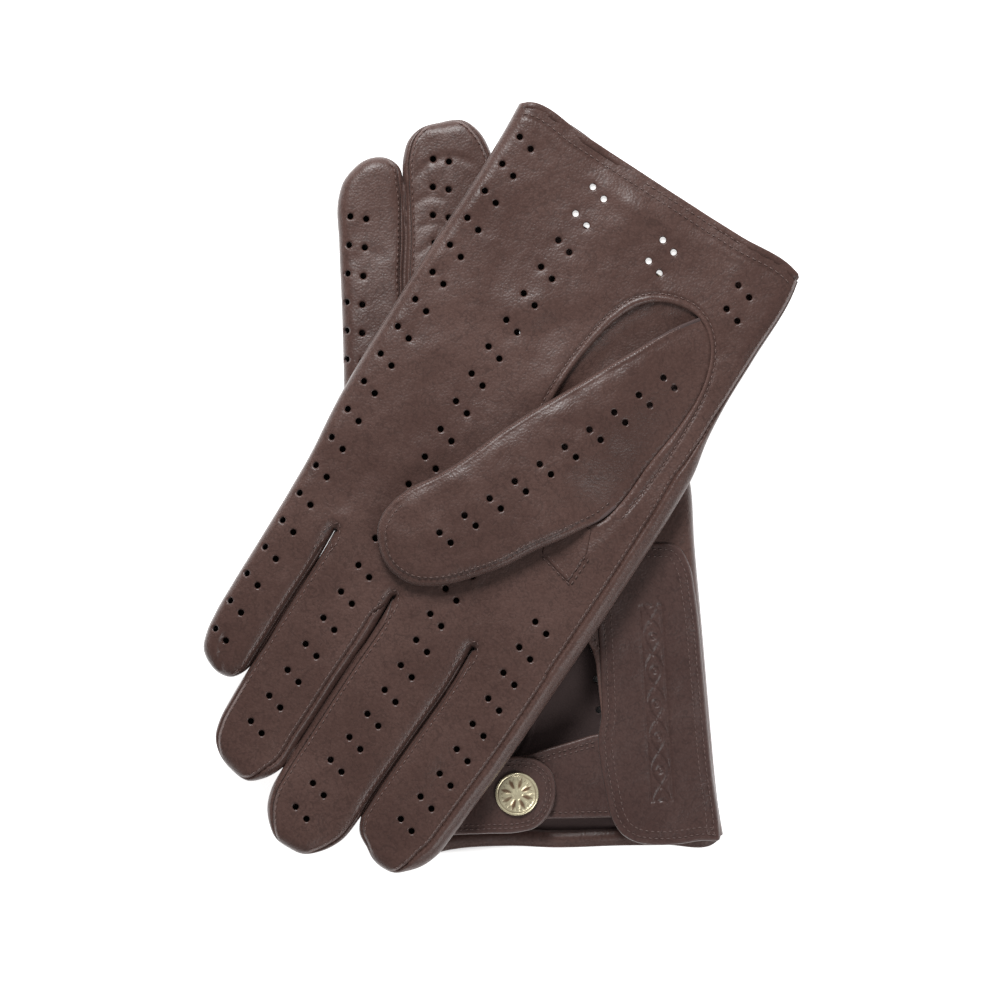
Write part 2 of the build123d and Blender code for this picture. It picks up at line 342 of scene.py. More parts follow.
def triangulate(
    loop: np.ndarray,
    cuts: list = (),
    punched: np.ndarray = None,
    radius: float = 1.0,
    extra: np.ndarray = None,
    spacing: float = 1.25,
) -> tuple:
    """Flat pattern piece: a triangle mesh inside a loop, with cut-outs and punched holes.

    Args:
        loop: the outline.
        cuts: outlines of larger cut-outs.
        punched: centres of round holes.
        radius: the round holes' radius.
        extra: more points, where the surface will need them.
        spacing: distance between the points of the regular lattice that fills the rest.

    Returns:
        The points, shape (n, 2), and the triangles, shape (m, 3), turned anticlockwise.
    """
    rings = circles(punched, radius) if punched is not None and len(punched) else []
    loops = [loop, *cuts, *rings]
    fixed = np.vstack(loops)
    if rings:
        collar = np.vstack(circles(punched, radius * 1.55, 10))
        extra = collar if extra is None else np.vstack([extra, collar])
    if extra is not None:
        clear = inside(extra, loop)
        for cut in [*cuts]:
            clear &= ~inside(extra, cut)
        extra = extra[clear]
        extra = extra[thin_out(extra, fixed, 0.22)]
        fixed = np.vstack([fixed, extra])
    low, high = loop.min(0), loop.max(0)
    rows = np.arange(low[1], high[1], spacing * 0.866)
    columns = np.arange(low[0], high[0], spacing)
    x, y = np.meshgrid(columns, rows)
    x = x + (np.arange(len(rows)) % 2)[:, None] * spacing / 2
    lattice = np.column_stack([x.ravel(), y.ravel()])
    lattice = lattice[inside(lattice, loop)]
    lattice = lattice[thin_out(lattice, fixed, 0.62 * spacing)]
    points = np.vstack([fixed, lattice])
    edges, start = [], 0
    for ring in loops:
        index = np.arange(len(ring)) + start
        edges.append(np.column_stack([index, np.roll(index, -1)]))
        start += len(ring)
    made = delaunay_2d_cdt(list(map(Vector, points.tolist())), np.vstack(edges).tolist(), [], 0, 1e-6)
    flat = np.array([v[:] for v in made[0]])
    triangles = np.array([f for f in made[2] if len(f) == 3])
    centre = flat[triangles].mean(1)
    keep = inside(centre, loop)
    for cut in cuts:
        keep &= ~inside(centre, cut)
    if rings:
        keep &= thin_out(centre, punched, radius * 0.98)
    triangles = triangles[keep]
    a, b, c = flat[triangles[:, 0]], flat[triangles[:, 1]], flat[triangles[:, 2]]
    area = (b[:, 0] - a[:, 0]) * (c[:, 1] - a[:, 1]) - (b[:, 1] - a[:, 1]) * (c[:, 0] - a[:, 0])
    triangles[area < 0] = triangles[area < 0][:, ::-1]
    return flat, triangles


def thin_out(at: np.ndarray, others: np.ndarray, reach: float) -> np.ndarray:
    """True for the points that are farther than reach from all the others.

    Args:
        at: points of the plane.
        others: points to keep away from.
        reach: the least distance.

    Returns:
        One truth value for each point.
    """
    keep = np.ones(len(at), bool)
    order = np.argsort(others[:, 1])
    others = others[order]
    block = 400
    by_y = np.argsort(at[:, 1])
    for start in range(0, len(at), block):
        rows = by_y[start : start + block]
        low = np.searchsorted(others[:, 1], at[rows, 1].min() - reach)
        high = np.searchsorted(others[:, 1], at[rows, 1].max() + reach)
        if high > low:
            gap = ((at[rows, None] - others[None, low:high]) ** 2).sum(2)
            keep[rows] = gap.min(1) > reach * reach
    return keep


def grid_faces(rows: int, columns: int, closed: bool = False) -> np.ndarray:
    """Quads of a grid of points, counted row by row; closed joins the last column to the first.

    Args:
        rows: rows of points.
        columns: points in a row.
        closed: whether rows are rings.

    Returns:
        Four point numbers for each quad.
    """
    across = columns if closed else columns - 1
    i, j = np.meshgrid(np.arange(rows - 1), np.arange(across), indexing="ij")
    k = (j + 1) % columns
    near, far = i * columns, (i + 1) * columns
    return np.stack([near + j, near + k, far + k, far + j], axis=-1).reshape(-1, 4)


@dataclass
class Surface:
    """Points and faces of a piece in its glove's frame, in millimetres."""

    points: np.ndarray
    faces: list

    def turned(self) -> "Surface":
        """The same surface facing the other way."""
        return Surface(self.points, [f[:, ::-1] for f in self.faces])

    def joined(self, other: "Surface") -> "Surface":
        """Both surfaces as one."""
        shift = len(self.points)
        return Surface(np.vstack([self.points, other.points]), self.faces + [f + shift for f in other.faces])


@dataclass(frozen=True)
class Place:
    """Where a glove lies: its cuff's middle, its turn about Z, and whether it is turned over."""

    origin: tuple
    turn: float
    turned_over: bool

    def row(self, points: np.ndarray) -> np.ndarray:
        """Points of the glove's frame in the row frame, in metres.

        Args:
            points: in the glove's frame, in millimetres.

        Returns:
            The same points in the row frame.
        """
        c, s = math.cos(math.radians(self.turn)), math.sin(math.radians(self.turn))
        x = self.origin[0] + points[:, 0] * c - points[:, 1] * s
        y = self.origin[1] + points[:, 0] * s + points[:, 1] * c
        z = -points[:, 2] if self.turned_over else points[:, 2]
        return np.column_stack([x, y, self.origin[2] + z]) * MM

    def point(self, x: float, y: float, z: float = 0.0) -> tuple:
        """One point of the glove's frame in the row frame, in metres."""
        return tuple(self.row(np.array([[x, y, z]]))[0])


@dataclass
class Maker:
    """Makes Blender objects out of surfaces of one glove."""

    side: Side
    place: Place
    made: list = field(default_factory=list)

    def piece(
        self,
        name: str,
        surface: Surface,
        materials: list,
        slot: str,
        replaces: tuple = (),
        body: str = "hand",
        wall: float = 0.0,
        wear: np.ndarray = None,
        merge: float = 0.0,
    ) -> bpy.types.Object:
        """Makes one piece, gives it its wall and finish, and makes it ride on its body.

        Args:
            name: the piece's name, without the glove's side.
            surface: its shape.
            materials: the outer material, and the one of the wall's inner side if there is a wall.
            slot: the record's material slot; not used.
            replaces: CAD nodes that it stands for, without the side.
            body: the body it rides on, without the side; "fingers" on the left glove, "thumb_root", and
                "tab_fold" on the right glove leave it unattached.
            wall: thickness that Solidify adds on the inner side.
            wear: how rubbed each point is, from 0 to 1.
            merge: distance within which points are joined.

        Returns:
            The new object.
        """
        full_name = f"{self.side.value}_{name}"
        mesh = bpy.data.meshes.new(full_name)
        if self.place.turned_over:
            surface = surface.turned()
        faces = [face for group in surface.faces for face in group.tolist()]
        mesh.from_pydata(self.place.row(surface.points).tolist(), [], faces)
        if wear is not None:
            attribute = mesh.attributes.new("wear", "FLOAT", "POINT")
            attribute.data.foreach_set("value", wear.astype(np.float32))
        if merge:
            weld(mesh, merge * MM)
        mesh.shade_smooth()
        for material in materials:
            mesh.materials.append(material)
        obj = bpy.data.objects.new(full_name, mesh)
        bpy.context.scene.collection.objects.link(obj)
        if wall:
            solid = obj.modifiers.new("wall", "SOLIDIFY")
            solid.thickness = wall * MM
            solid.offset = -1.0
            if len(materials) > 1:
                solid.material_offset = 1
                solid.material_offset_rim = 1
        if replaces:
            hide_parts(*[f"{self.side.value}_{node}" for node in replaces])
        self.ride(obj, body)
        self.made.append(obj)
        LOG.info("%s: %d points", full_name, len(mesh.vertices))
        return obj

    def ride(self, obj: bpy.types.Object, body: str) -> None:
        """Makes a piece move with its body; where it crosses a joint, the joint's two points are worked out,
        but the piece is only left in place, unattached.

        Args:
            obj: the piece.
            body: a body without its side, or the name of a fold.
        """
        side = self.side.value
        if body == "fingers" and self.side is Side.LEFT:
            start, end = self.place.point(0, KNUCKLES.start), self.place.point(0, KNUCKLES.end)
            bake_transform(obj)
        elif body == "thumb_root":
            start, end = self.place.point(*THUMB_STILL), self.place.point(*THUMB_FREE)
            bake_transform(obj)
        elif body == "tab_fold" and self.side is Side.RIGHT:
            end, start = (self.place.point(*place) for place in fold_points())
            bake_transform(obj)
        elif body == "snap_tab" and self.side is Side.RIGHT:
            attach(obj, f"{side}_snap_tab")
        elif body == "thumb":
            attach(obj, f"{side}_thumb")
        else:
            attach(obj, f"{side}_hand")


def weld(mesh: bpy.types.Mesh, reach: float) -> None:
    """Joins the points of a mesh that lie within reach of each other.

    Args:
        mesh: the mesh.
        reach: distance in metres.
    """
    work = bmesh.new()
    work.from_mesh(mesh)
    bmesh.ops.remove_doubles(work, verts=work.verts, dist=reach)
    work.to_mesh(mesh)
    work.free()


# ---------------------------------------------------------------------------------------------
# Sizes that every part of a glove shares, in millimetres


@dataclass(frozen=True)
class Knuckles:
    """Stretch of the glove, as distances from the cuff, over which it bends when the fingers curl."""

    start: float = 143.0
    end: float = 158.0


@dataclass(frozen=True)
class Snap:
    """The snap fastener's place and sizes, and the fold that the tab opens about."""

    x: float = -15.9
    y: float = 19.9
    rise: float = 2.2
    cap_radius: float = 7.0
    cap_height: float = 1.5
    fold_distance: float = 8.7
    fold_angle: float = 47.9


KNUCKLES = Knuckles()
SNAP = Snap()
LEATHER = 0.8
HOLE_RADIUS = 1.02
THUMB_STILL, THUMB_FREE = (-37.0, 27.0), (-31.0, 52.0)


def fold_points() -> tuple:
    """A point on the snap's side of the tab's fold and one on its sewn side.

    Returns:
        The two points in the glove's plane.
    """
    across = math.radians(SNAP.fold_angle + 90)
    near, far = SNAP.fold_distance - 1.6, SNAP.fold_distance + 1.6
    x, y = math.cos(across), math.sin(across)
    return (SNAP.x + near * x, SNAP.y + near * y), (SNAP.x + far * x, SNAP.y + far * y)


@dataclass(frozen=True)
class FingerShape:
    """One finger's outline from fork to fork, and how far inside it the seams of each side lie.

    The points run up the thumb side, over the tip and down the little-finger side. apex is the
    number of the point at the very tip.
    """

    name: str
    points: tuple
    apex: int
    thumb_seam: float
    little_seam: float


@dataclass(frozen=True)
class Drape:
    """Heights of a glove's palm surface, and its thickness, by distance from the cuff."""

    thickness: tuple = ((0.0, 7.8), (40.0, 8.4), (90.0, 8.8), (150.6, 8.6), (200.0, 8.0), (246.0, 7.2))
    back: tuple = ()
    arch_height: float = 7.3
    arch_length: float = 240.0

    def arch(self, y: np.ndarray) -> np.ndarray:
        """Half the arch's height times one minus the cosine of the distance along it."""
        share = np.clip(y, 0, self.arch_length) / self.arch_length
        return self.arch_height / 2 * (1 - np.cos(2 * np.pi * share))

    def depth(self, y: np.ndarray) -> np.ndarray:
        """The glove's thickness."""
        return profile(self.thickness, y)

    def palm(self, y: np.ndarray) -> np.ndarray:
        """Height of the palm surface, in the palm-up frame.

        Args:
            y: distances from the cuff.

        Returns:
            The height at each.
        """
        if self.back:
            return profile(self.back, y) + self.depth(y)
        return -self.arch(y)


@dataclass
class Outline:
    """A glove's outline without its hem: up the thumb side, round the fingers and down the little side."""

    thumb_side: tuple
    fingers: tuple
    little_side: tuple
    path: np.ndarray = None
    palm_inset: np.ndarray = None
    back_inset: np.ndarray = None
    owner: np.ndarray = None

    def build(self) -> None:
        """Samples the outline and works out how far inside it the seams lie at each point.

        On a finger the inset rises from almost nothing at the fork to its full value within a
        few millimetres, and falls to nothing at the tip.
        """
        stretches = [curve(self.thumb_side + self.fingers[0].points[:1])]
        names = ["wrap"]
        insets = [np.interp(stretches[0][:, 1], (0, 45, 60, 74), (0.5, 0.8, 2.0, 5.4))]
        backs = [np.zeros(len(stretches[0]))]
        for finger in self.fingers:
            whole = curve(finger.points, 1.0)
            tip = nearest(np.array([finger.points[finger.apex]]), whole)[1][0]
            share = lengths(whole) / lengths(whole)[-1]
            run = lengths(whole)
            rising, falling = share < tip, share >= tip
            fork_in = smoothstep(run / 9.0) if finger.name != "index" else np.ones(len(whole))
            fork_out = smoothstep((run[-1] - run) / 9.0)
            to_tip = smoothstep(np.abs(run - tip * run[-1]) / 16.0)
            inset = np.where(rising, finger.thumb_seam * fork_in, finger.little_seam * fork_out) * to_tip
            insets.append(inset)
            backs.append(np.where(rising & (finger.name == "index"), 0.0, inset))
            stretches.append(whole)
            names.append(finger.name)
        last = curve(self.fingers[-1].points[-1:] + self.little_side)
        stretches.append(last)
        insets.append(np.zeros(len(last)))
        backs.append(np.zeros(len(last)))
        names.append("edge")
        keep = [slice(None)] + [slice(1, None)] * (len(stretches) - 1)
        self.path = np.vstack([s[k] for s, k in zip(stretches, keep)])
        self.palm_inset = np.concatenate([i[k] for i, k in zip(insets, keep)])
        self.back_inset = np.concatenate([b[k] for b, k in zip(backs, keep)])
        owners = [np.full(len(s), n) for s, n in zip(stretches, range(len(stretches)))]
        self.owner = np.concatenate([o[k] for o, k in zip(owners, keep)])

    def seam(self, face: Face) -> np.ndarray:
        """The outline moved inwards to the seams of one side of the glove."""
        inset = self.palm_inset if face is Face.PALM else self.back_inset
        return self.path + inward(self.path) * inset[:, None]


@dataclass
class Shell:
    """The soft flat body of a glove, as one height for its palm side and one for its back.

    Both sides are the middle height plus or minus half the thickness times a quarter-ellipse of the
    distance to the outline, so they meet at the outline with an upright edge.
    """

    drape: Drape
    outline: Outline
    seed: int
    palm_marks: tuple = ()
    back_marks: tuple = ()
    palm_seams: list = field(default_factory=list)
    back_seams: list = field(default_factory=list)
    roundness: float = 5.0
    calm: float = 1.0

    def swelling(self, at: np.ndarray) -> np.ndarray:
        """0 at the outline, 1 further in than the edge's roundness, which is less on the fingers.

        Args:
            at: points of the plane.

        Returns:
            The share at each point.
        """
        distance = nearest(at, self.outline.path)[0]
        reach = self.roundness - 0.6 * smoothstep((at[:, 1] - 146.0) / 22.0)
        t = np.clip(distance / reach, 0.0, 1.0)
        return np.sqrt(np.maximum(0.0, 1 - (1 - t) ** 2))

    def height(self, at: np.ndarray, face: Face) -> np.ndarray:
        """Height of one side of the shell at points of the plane.

        Args:
            at: points of the plane.
            face: the side.

        Returns:
            Middle height plus or minus the swollen half thickness, marks and seams.
        """
        y = at[:, 1]
        depth = self.drape.depth(y)
        middle = self.drape.palm(y) - depth / 2
        swelling = self.swelling(at)
        outward = depth / 2 * swelling
        palm = face is Face.PALM
        marks = self.palm_marks if palm else self.back_marks
        seams = self.palm_seams if palm else self.back_seams
        salt = self.seed + (0 if palm else 50)
        soft = 0.2 * ripples(at, 30.0, salt) + 0.085 * ripples(at, 12.0, salt + 1)
        soft = soft + 0.03 * ripples(at, 5.0, salt + 2)
        outward = outward + self.calm * soft * swelling
        for mark in marks:
            outward = outward + mark.lift(at) * swelling
        for path, depth_of, width in seams:
            distance = nearest(at, path)[0]
            groove = -depth_of * np.exp(-((distance / width) ** 2))
            lips = 0.35 * depth_of * np.exp(-(((distance - 2.6 * width) / (1.4 * width)) ** 2))
            outward = outward + (groove + lips) * np.clip(swelling * 1.6, 0, 1)
        return middle + face.value * outward

    def lift(self, at: np.ndarray, face: Face, above: float = 0.0) -> np.ndarray:
        """Points of the plane set on one side of the shell, and above it by a distance."""
        return np.column_stack([at, self.height(at, face) + face.value * above])


@dataclass(frozen=True)
class PunchedRow:
    """A row of punched pairs of holes along a line, the little-finger-side hole nearer the cuff."""

    line: tuple
    pairs: int
    apart: float = 5.0
    skew: float = 1.4

    def centres(self) -> np.ndarray:
        """Even steps along the line, and from each one half the pair's vector to either side.

        Returns:
            The holes' middles.
        """
        path = curve(self.line, 0.25)
        run = lengths(path)
        middle = read(path, run, np.linspace(0, run[-1], self.pairs))
        half = np.array([self.apart, -self.skew]) / 2
        return np.vstack([middle - half, middle + half])


@dataclass
class Stitching:
    """Rows of small thread stitches, all of one glove's finish and body gathered into one mesh."""

    pitch: float = 2.1
    length: float = 1.55
    width: float = 0.52
    height: float = 0.4

    def capsule(self) -> tuple:
        """One stitch: rings of six points between two end points, swollen in the middle.

        The width follows the square root of one minus the square of the way along, and the ends dip
        into the leather with the square of it.

        Returns:
            Its points and its two groups of faces.
        """
        stations = np.array([-0.36, 0.0, 0.36])
        angle = np.arange(6) * math.pi / 3
        swell = np.sqrt(1 - (2 * stations) ** 2 * 0.82)
        u = np.repeat(stations, 6)
        side = (swell[:, None] * np.cos(angle)).ravel() / 2
        up = (swell[:, None] * np.sin(angle)).ravel() / 2 - 0.9 * u**2
        points = np.column_stack([u, side, up])
        points = np.vstack([points, [[-0.5, 0.0, -0.45], [0.5, 0.0, -0.45]]])
        quads = grid_faces(3, 6, closed=True)
        ring = np.arange(6)
        start = np.column_stack([np.full(6, 18), (ring + 1) % 6, ring])
        end = np.column_stack([np.full(6, 19), 12 + ring, 12 + (ring + 1) % 6])
        return points * [self.length, self.width, self.height], [quads, np.vstack([start, end])]

    def row(self, path: np.ndarray, lift: Callable, above: float = 0.16) -> Surface:
        """Stitches along a path on a surface, as one array product of places and the capsule.

        Args:
            path: the row's line in the plane.
            lift: gives points of the plane their place on the surface.
            above: how far the thread's middle lies above the surface.

        Returns:
            All the row's stitches.
        """
        run = lengths(path)
        count = int(run[-1] / self.pitch)
        if count < 1:
            return Surface(np.zeros((0, 3)), [np.zeros((0, 4), int), np.zeros((0, 3), int)])
        at = (np.arange(count) + 0.5) * run[-1] / count
        half = self.length / 2
        ends = [read(path, run, at + k) for k in (-half, half)]
        flat = ends[1] - ends[0]
        flat /= np.linalg.norm(flat, axis=1, keepdims=True) + 1e-9
        across = np.column_stack([-flat[:, 1], flat[:, 0]]) * 0.3
        middle = (ends[0] + ends[1]) / 2
        tail, head, left, right, centre = (lift(p) for p in (*ends, middle + across, middle - across, middle))
        along = unit(head - tail)
        up = unit(np.cross(along, left - right))
        up = up * np.where(up[:, 2:] * lift.outward < 0, -1.0, 1.0)
        side = np.cross(up, along)
        points, groups = self.capsule()
        place = centre + up * above
        shape = (
            place[:, None]
            + points[None, :, :1] * along[:, None]
            + points[None, :, 1:2] * side[:, None]
            + points[None, :, 2:] * up[:, None]
        )
        shift = np.arange(count)[:, None, None] * len(points)
        faces = [(group[None] + shift).reshape(-1, group.shape[1]) for group in groups]
        return Surface(shape.reshape(-1, 3), faces)


def unit(vectors: np.ndarray) -> np.ndarray:
    """Vectors scaled to length one."""
    return vectors / (np.linalg.norm(vectors, axis=1, keepdims=True) + 1e-12)


def gather(surfaces: list) -> Surface:
    """Several surfaces as one.

    Args:
        surfaces: one or more.

    Returns:
        All their points and faces.
    """
    whole = surfaces[0]
    for surface in surfaces[1:]:
        whole = whole.joined(surface)
    return whole


@dataclass
class Lift:
    """Sets points of the plane on a surface given by a height, for rows of stitches."""

    height: Height
    outward: float

    def __call__(self, at: np.ndarray) -> np.ndarray:
        """The points with their heights."""
        return np.column_stack([at, self.height(at)])


def portions(path: np.ndarray, keep: np.ndarray, shortest: int = 6) -> list:
    """The unbroken stretches of a path where keep is true."""
    edges = np.flatnonzero(np.diff(np.concatenate([[0], keep.astype(int), [0]])))
    return [path[a:b] for a, b in zip(edges[::2], edges[1::2]) if b - a >= shortest]


# ---------------------------------------------------------------------------------------------
# Finishes


class Nodes:
    """A node tree with short ways to add nodes and join them."""

    def __init__(self, tree: bpy.types.NodeTree) -> None:
        """Starts from an empty tree."""
        self.tree = tree
        tree.nodes.clear()

    def add(self, kind: str, inputs: dict = None, **settings: object) -> bpy.types.Node:
        """Adds a node with its settings, and sets or links its inputs by name or number.

        Args:
            kind: the node's type without its first word.
            inputs: values or sockets.
            settings: the node's own properties.

        Returns:
            The node.
        """
        node = self.tree.nodes.new(f"ShaderNode{kind}" if not kind.startswith("Node") else kind)
        for name, value in settings.items():
            setattr(node, name, value)
        for name, value in (inputs or {}).items():
            if isinstance(value, bpy.types.NodeSocket):
                self.tree.links.new(value, node.inputs[name])
            else:
                node.inputs[name].default_value = value
        return node

    def math(self, operation: str, a: object, b: object = 0.0, c: object = 0.0) -> bpy.types.NodeSocket:
        """The result of one sum on values or sockets."""
        return self.add("Math", {0: a, 1: b, 2: c}, operation=operation).outputs[0]

    def mix(self, factor: object, a: object, b: object) -> bpy.types.NodeSocket:
        """A colour between two colours."""
        node = self.add("Mix", {0: factor, 6: a, 7: b}, data_type="RGBA")
        return node.outputs[2]

    def spread(
        self, value: object, low: float, high: float, to_low: float, to_high: float
    ) -> bpy.types.NodeSocket:
        """A value taken from one range to another, held at its ends."""
        inputs = {"Value": value, "From Min": low, "From Max": high, "To Min": to_low, "To Max": to_high}
        return self.add("MapRange", inputs, interpolation_type="SMOOTHSTEP").outputs["Result"]


def group(name: str, inputs: dict, outputs: dict) -> tuple:
    """A new node group with named sockets.

    Args:
        name: the group's name.
        inputs: socket name to its kind.
        outputs: socket name to its kind.

    Returns:
        The group's tree, its nodes, and its input and output nodes.
    """
    tree = bpy.data.node_groups.new(name, "ShaderNodeTree")
    for socket, kind in inputs.items():
        tree.interface.new_socket(name=socket, in_out="INPUT", socket_type=kind)
    for socket, kind in outputs.items():
        tree.interface.new_socket(name=socket, in_out="OUTPUT", socket_type=kind)
    nodes = Nodes(tree)
    return tree, nodes, nodes.add("NodeGroupInput"), nodes.add("NodeGroupOutput")


FLOAT, VECTOR = "NodeSocketFloat", "NodeSocketVector"


def grain_group() -> bpy.types.NodeTree:
    """Leather grain: rounded pebbles, fine creases where a noise crosses its middle, and soft hills.

    Its height is the pebbles' distance field plus the creases' depth plus the hills.

    Returns:
        The group.
    """
    inputs, outputs = {"Vector": VECTOR, "Pebble Size": FLOAT}, {"Height": FLOAT, "Tone": FLOAT}
    tree, n, given, out = group("leather_grain", inputs, outputs)
    place = given.outputs["Vector"]
    finer = n.math("DIVIDE", 1.0, given.outputs["Pebble Size"])
    bend = n.add("TexNoise", {"Vector": place, "Scale": 300.0, "Detail": 2.0})
    shift = n.add("VectorMath", {0: bend.outputs["Color"], 1: (0.5, 0.5, 0.5)}, operation="SUBTRACT")
    shift = n.add("VectorMath", {0: shift.outputs[0], "Scale": 0.0012}, operation="SCALE")
    bent = n.add("VectorMath", {0: place, 1: shift.outputs[0]}, operation="ADD").outputs[0]
    pebble = n.add("TexVoronoi", {"Vector": bent, "Scale": finer, "Randomness": 0.95}, feature="SMOOTH_F1")
    pebble.inputs["Smoothness"].default_value = 0.45
    round_top = n.spread(pebble.outputs["Distance"], 0.15, 0.75, 1.0, 0.0)
    crease = n.add("TexNoise", {"Vector": bent, "Scale": 190.0, "Detail": 4.0, "Distortion": 1.1})
    line = n.math("ABSOLUTE", n.math("SUBTRACT", crease.outputs["Fac"], 0.5))
    line = n.spread(line, 0.0, 0.035, 0.0, 1.0)
    hills = n.add("TexNoise", {"Vector": place, "Scale": 420.0, "Detail": 5.0, "Roughness": 0.6})
    height = n.math("MULTIPLY_ADD", round_top, 0.6, n.math("MULTIPLY", line, 0.16))
    height = n.math("MULTIPLY_ADD", hills.outputs["Fac"], 0.5, height)
    n.tree.links.new(height, out.inputs["Height"])
    tone = n.math("MULTIPLY_ADD", round_top, 0.55, n.math("MULTIPLY", line, 0.45))
    n.tree.links.new(tone, out.inputs["Tone"])
    return tree


def cloud_group() -> bpy.types.NodeTree:
    """Uneven dye: broad clouds and smaller mottling, as one mask around a half.

    Returns:
        The group.
    """
    tree, n, given, out = group("uneven_tone", {"Vector": VECTOR, "Size": FLOAT}, {"Mask": FLOAT})
    scale = n.math("DIVIDE", 1.0, given.outputs["Size"])
    broad = n.add("TexNoise", {"Vector": given.outputs["Vector"], "Scale": scale})
    broad.inputs["Detail"].default_value = 3.0
    small = n.add("TexNoise", {"Vector": given.outputs["Vector"], "Scale": 700.0, "Detail": 3.0})
    mask = n.math("MULTIPLY_ADD", small.outputs["Fac"], 0.35, n.math("MULTIPLY", broad.outputs["Fac"], 0.65))
    n.tree.links.new(mask, out.inputs["Mask"])
    return tree


@dataclass(frozen=True)
class Finish:
    """What every finish has: a name and its colours."""

    name: str
    colour: tuple
    second: tuple

    def start(self) -> tuple:
        """A new material with its nodes, its shader and the place coordinates.

        Returns:
            The material, its nodes, its shader and the coordinates' socket.
        """
        material = bpy.data.materials.new(self.name)
        material.use_nodes = True
        n = Nodes(material.node_tree)
        shader = n.add("BsdfPrincipled")
        output = n.add("OutputMaterial")
        n.tree.links.new(shader.outputs[0], output.inputs["Surface"])
        place = n.add("TexCoord").outputs["Object"]
        return material, n, shader, place

    def use(self, n: Nodes, tree: bpy.types.NodeTree, **inputs: object) -> bpy.types.Node:
        """Places a shared group, with its inputs by name, underscores standing for spaces.

        Args:
            n: the material's nodes.
            tree: the group.
            inputs: values or sockets.

        Returns:
            The group's node.
        """
        named = {key.replace("_", " "): value for key, value in inputs.items()}
        node = n.add("Group")
        node.node_tree = tree
        for key, value in named.items():
            if isinstance(value, bpy.types.NodeSocket):
                n.tree.links.new(value, node.inputs[key])
            else:
                node.inputs[key].default_value = value
        return node

    def finish(
        self, n: Nodes, shader: bpy.types.Node, colour: object, roughness: object, height: object,
        depth: float,
    ) -> None:
        """Links the changing colour, roughness and height into the shader.

        Args:
            n: the material's nodes.
            shader: its shader.
            colour: socket of the base colour.
            roughness: socket of the roughness.
            height: socket of the relief.
            depth: the relief's depth in metres.
        """
        bump = n.add("Bump", {"Height": height, "Distance": depth, "Strength": 1.0})
        n.tree.links.new(bump.outputs[0], shader.inputs["Normal"])
        n.tree.links.new(colour, shader.inputs["Base Color"])
        n.tree.links.new(roughness, shader.inputs["Roughness"])


@dataclass(frozen=True)
class LeatherFinish(Finish):
    """Dyed glove leather: dark brown, finely grained, with a broad soft gloss and rubbed seams."""

    rough: tuple = (0.34, 0.44)
    pebble: float = 0.0008
    depth: float = 0.00006
    gloss: float = 0.4

    def make(self, groups: dict) -> bpy.types.Material:
        """Colour follows the dye's clouds, the grain's hollows and the rubbed edges.

        Args:
            groups: the shared node groups by name.

        Returns:
            The material.
        """
        material, n, shader, place = self.start()
        grain = self.use(n, groups["grain"], Vector=place, Pebble_Size=self.pebble)
        cloud = self.use(n, groups["cloud"], Vector=place, Size=0.03)
        dyed = n.spread(cloud.outputs["Mask"], 0.3, 0.7, 0.0, 1.0)
        colour = n.mix(dyed, (*self.colour, 1), (*self.second, 1))
        darker = tuple(0.62 * c for c in self.colour)
        colour = n.mix(n.spread(grain.outputs["Tone"], 0.1, 0.8, 0.55, 0.0), colour, (*darker, 1))
        rubbed = n.add("Attribute", attribute_name="wear").outputs["Fac"]
        lighter = tuple(1.35 * c + 0.004 for c in self.second)
        colour = n.mix(n.math("MULTIPLY", rubbed, 0.5), colour, (*lighter, 1))
        roughness = n.spread(cloud.outputs["Mask"], 0.3, 0.7, *self.rough)
        self.finish(n, shader, colour, roughness, grain.outputs["Height"], self.depth)
        shader.inputs["Specular IOR Level"].default_value = self.gloss
        shader.inputs["Sheen Weight"].default_value = 0.06
        shader.inputs["Sheen Roughness"].default_value = 0.5
        return material


@dataclass(frozen=True)
class FleshFinish(Finish):
    """The leather's napped inner side."""

    def make(self, groups: dict) -> bpy.types.Material:
        """Colour follows the dye's clouds; the height is a short felted nap.

        Args:
            groups: the shared node groups by name.

        Returns:
            The material.
        """
        material, n, shader, place = self.start()
        cloud = self.use(n, groups["cloud"], Vector=place, Size=0.02)
        noise = n.add("TexNoise", {"Vector": place, "Scale": 1900.0, "Detail": 4.0, "Roughness": 0.7})
        nap = noise.outputs["Fac"]
        colour = n.mix(cloud.outputs["Mask"], (*self.colour, 1), (*self.second, 1))
        roughness = n.spread(nap, 0.3, 0.7, 0.82, 0.95)
        self.finish(n, shader, colour, roughness, nap, 0.00012)
        shader.inputs["Specular IOR Level"].default_value = 0.2
        shader.inputs["Sheen Weight"].default_value = 0.12
        return material


@dataclass(frozen=True)
class ThreadFinish(Finish):
    """Waxed sewing thread, a little lighter than the leather."""

    def make(self, groups: dict) -> bpy.types.Material:
        """Colour and height follow fine twisted fibres.

        Args:
            groups: the shared node groups by name.

        Returns:
            The material.
        """
        material, n, shader, place = self.start()
        fibre = n.add("TexNoise", {"Vector": place, "Scale": 5200.0, "Detail": 3.0}).outputs["Fac"]
        cloud = self.use(n, groups["cloud"], Vector=place, Size=0.01)
        colour = n.mix(n.math("MULTIPLY", fibre, cloud.outputs["Mask"]), (*self.colour, 1), (*self.second, 1))
        self.finish(n, shader, colour, n.spread(fibre, 0.3, 0.7, 0.34, 0.48), fibre, 0.00005)
        return material


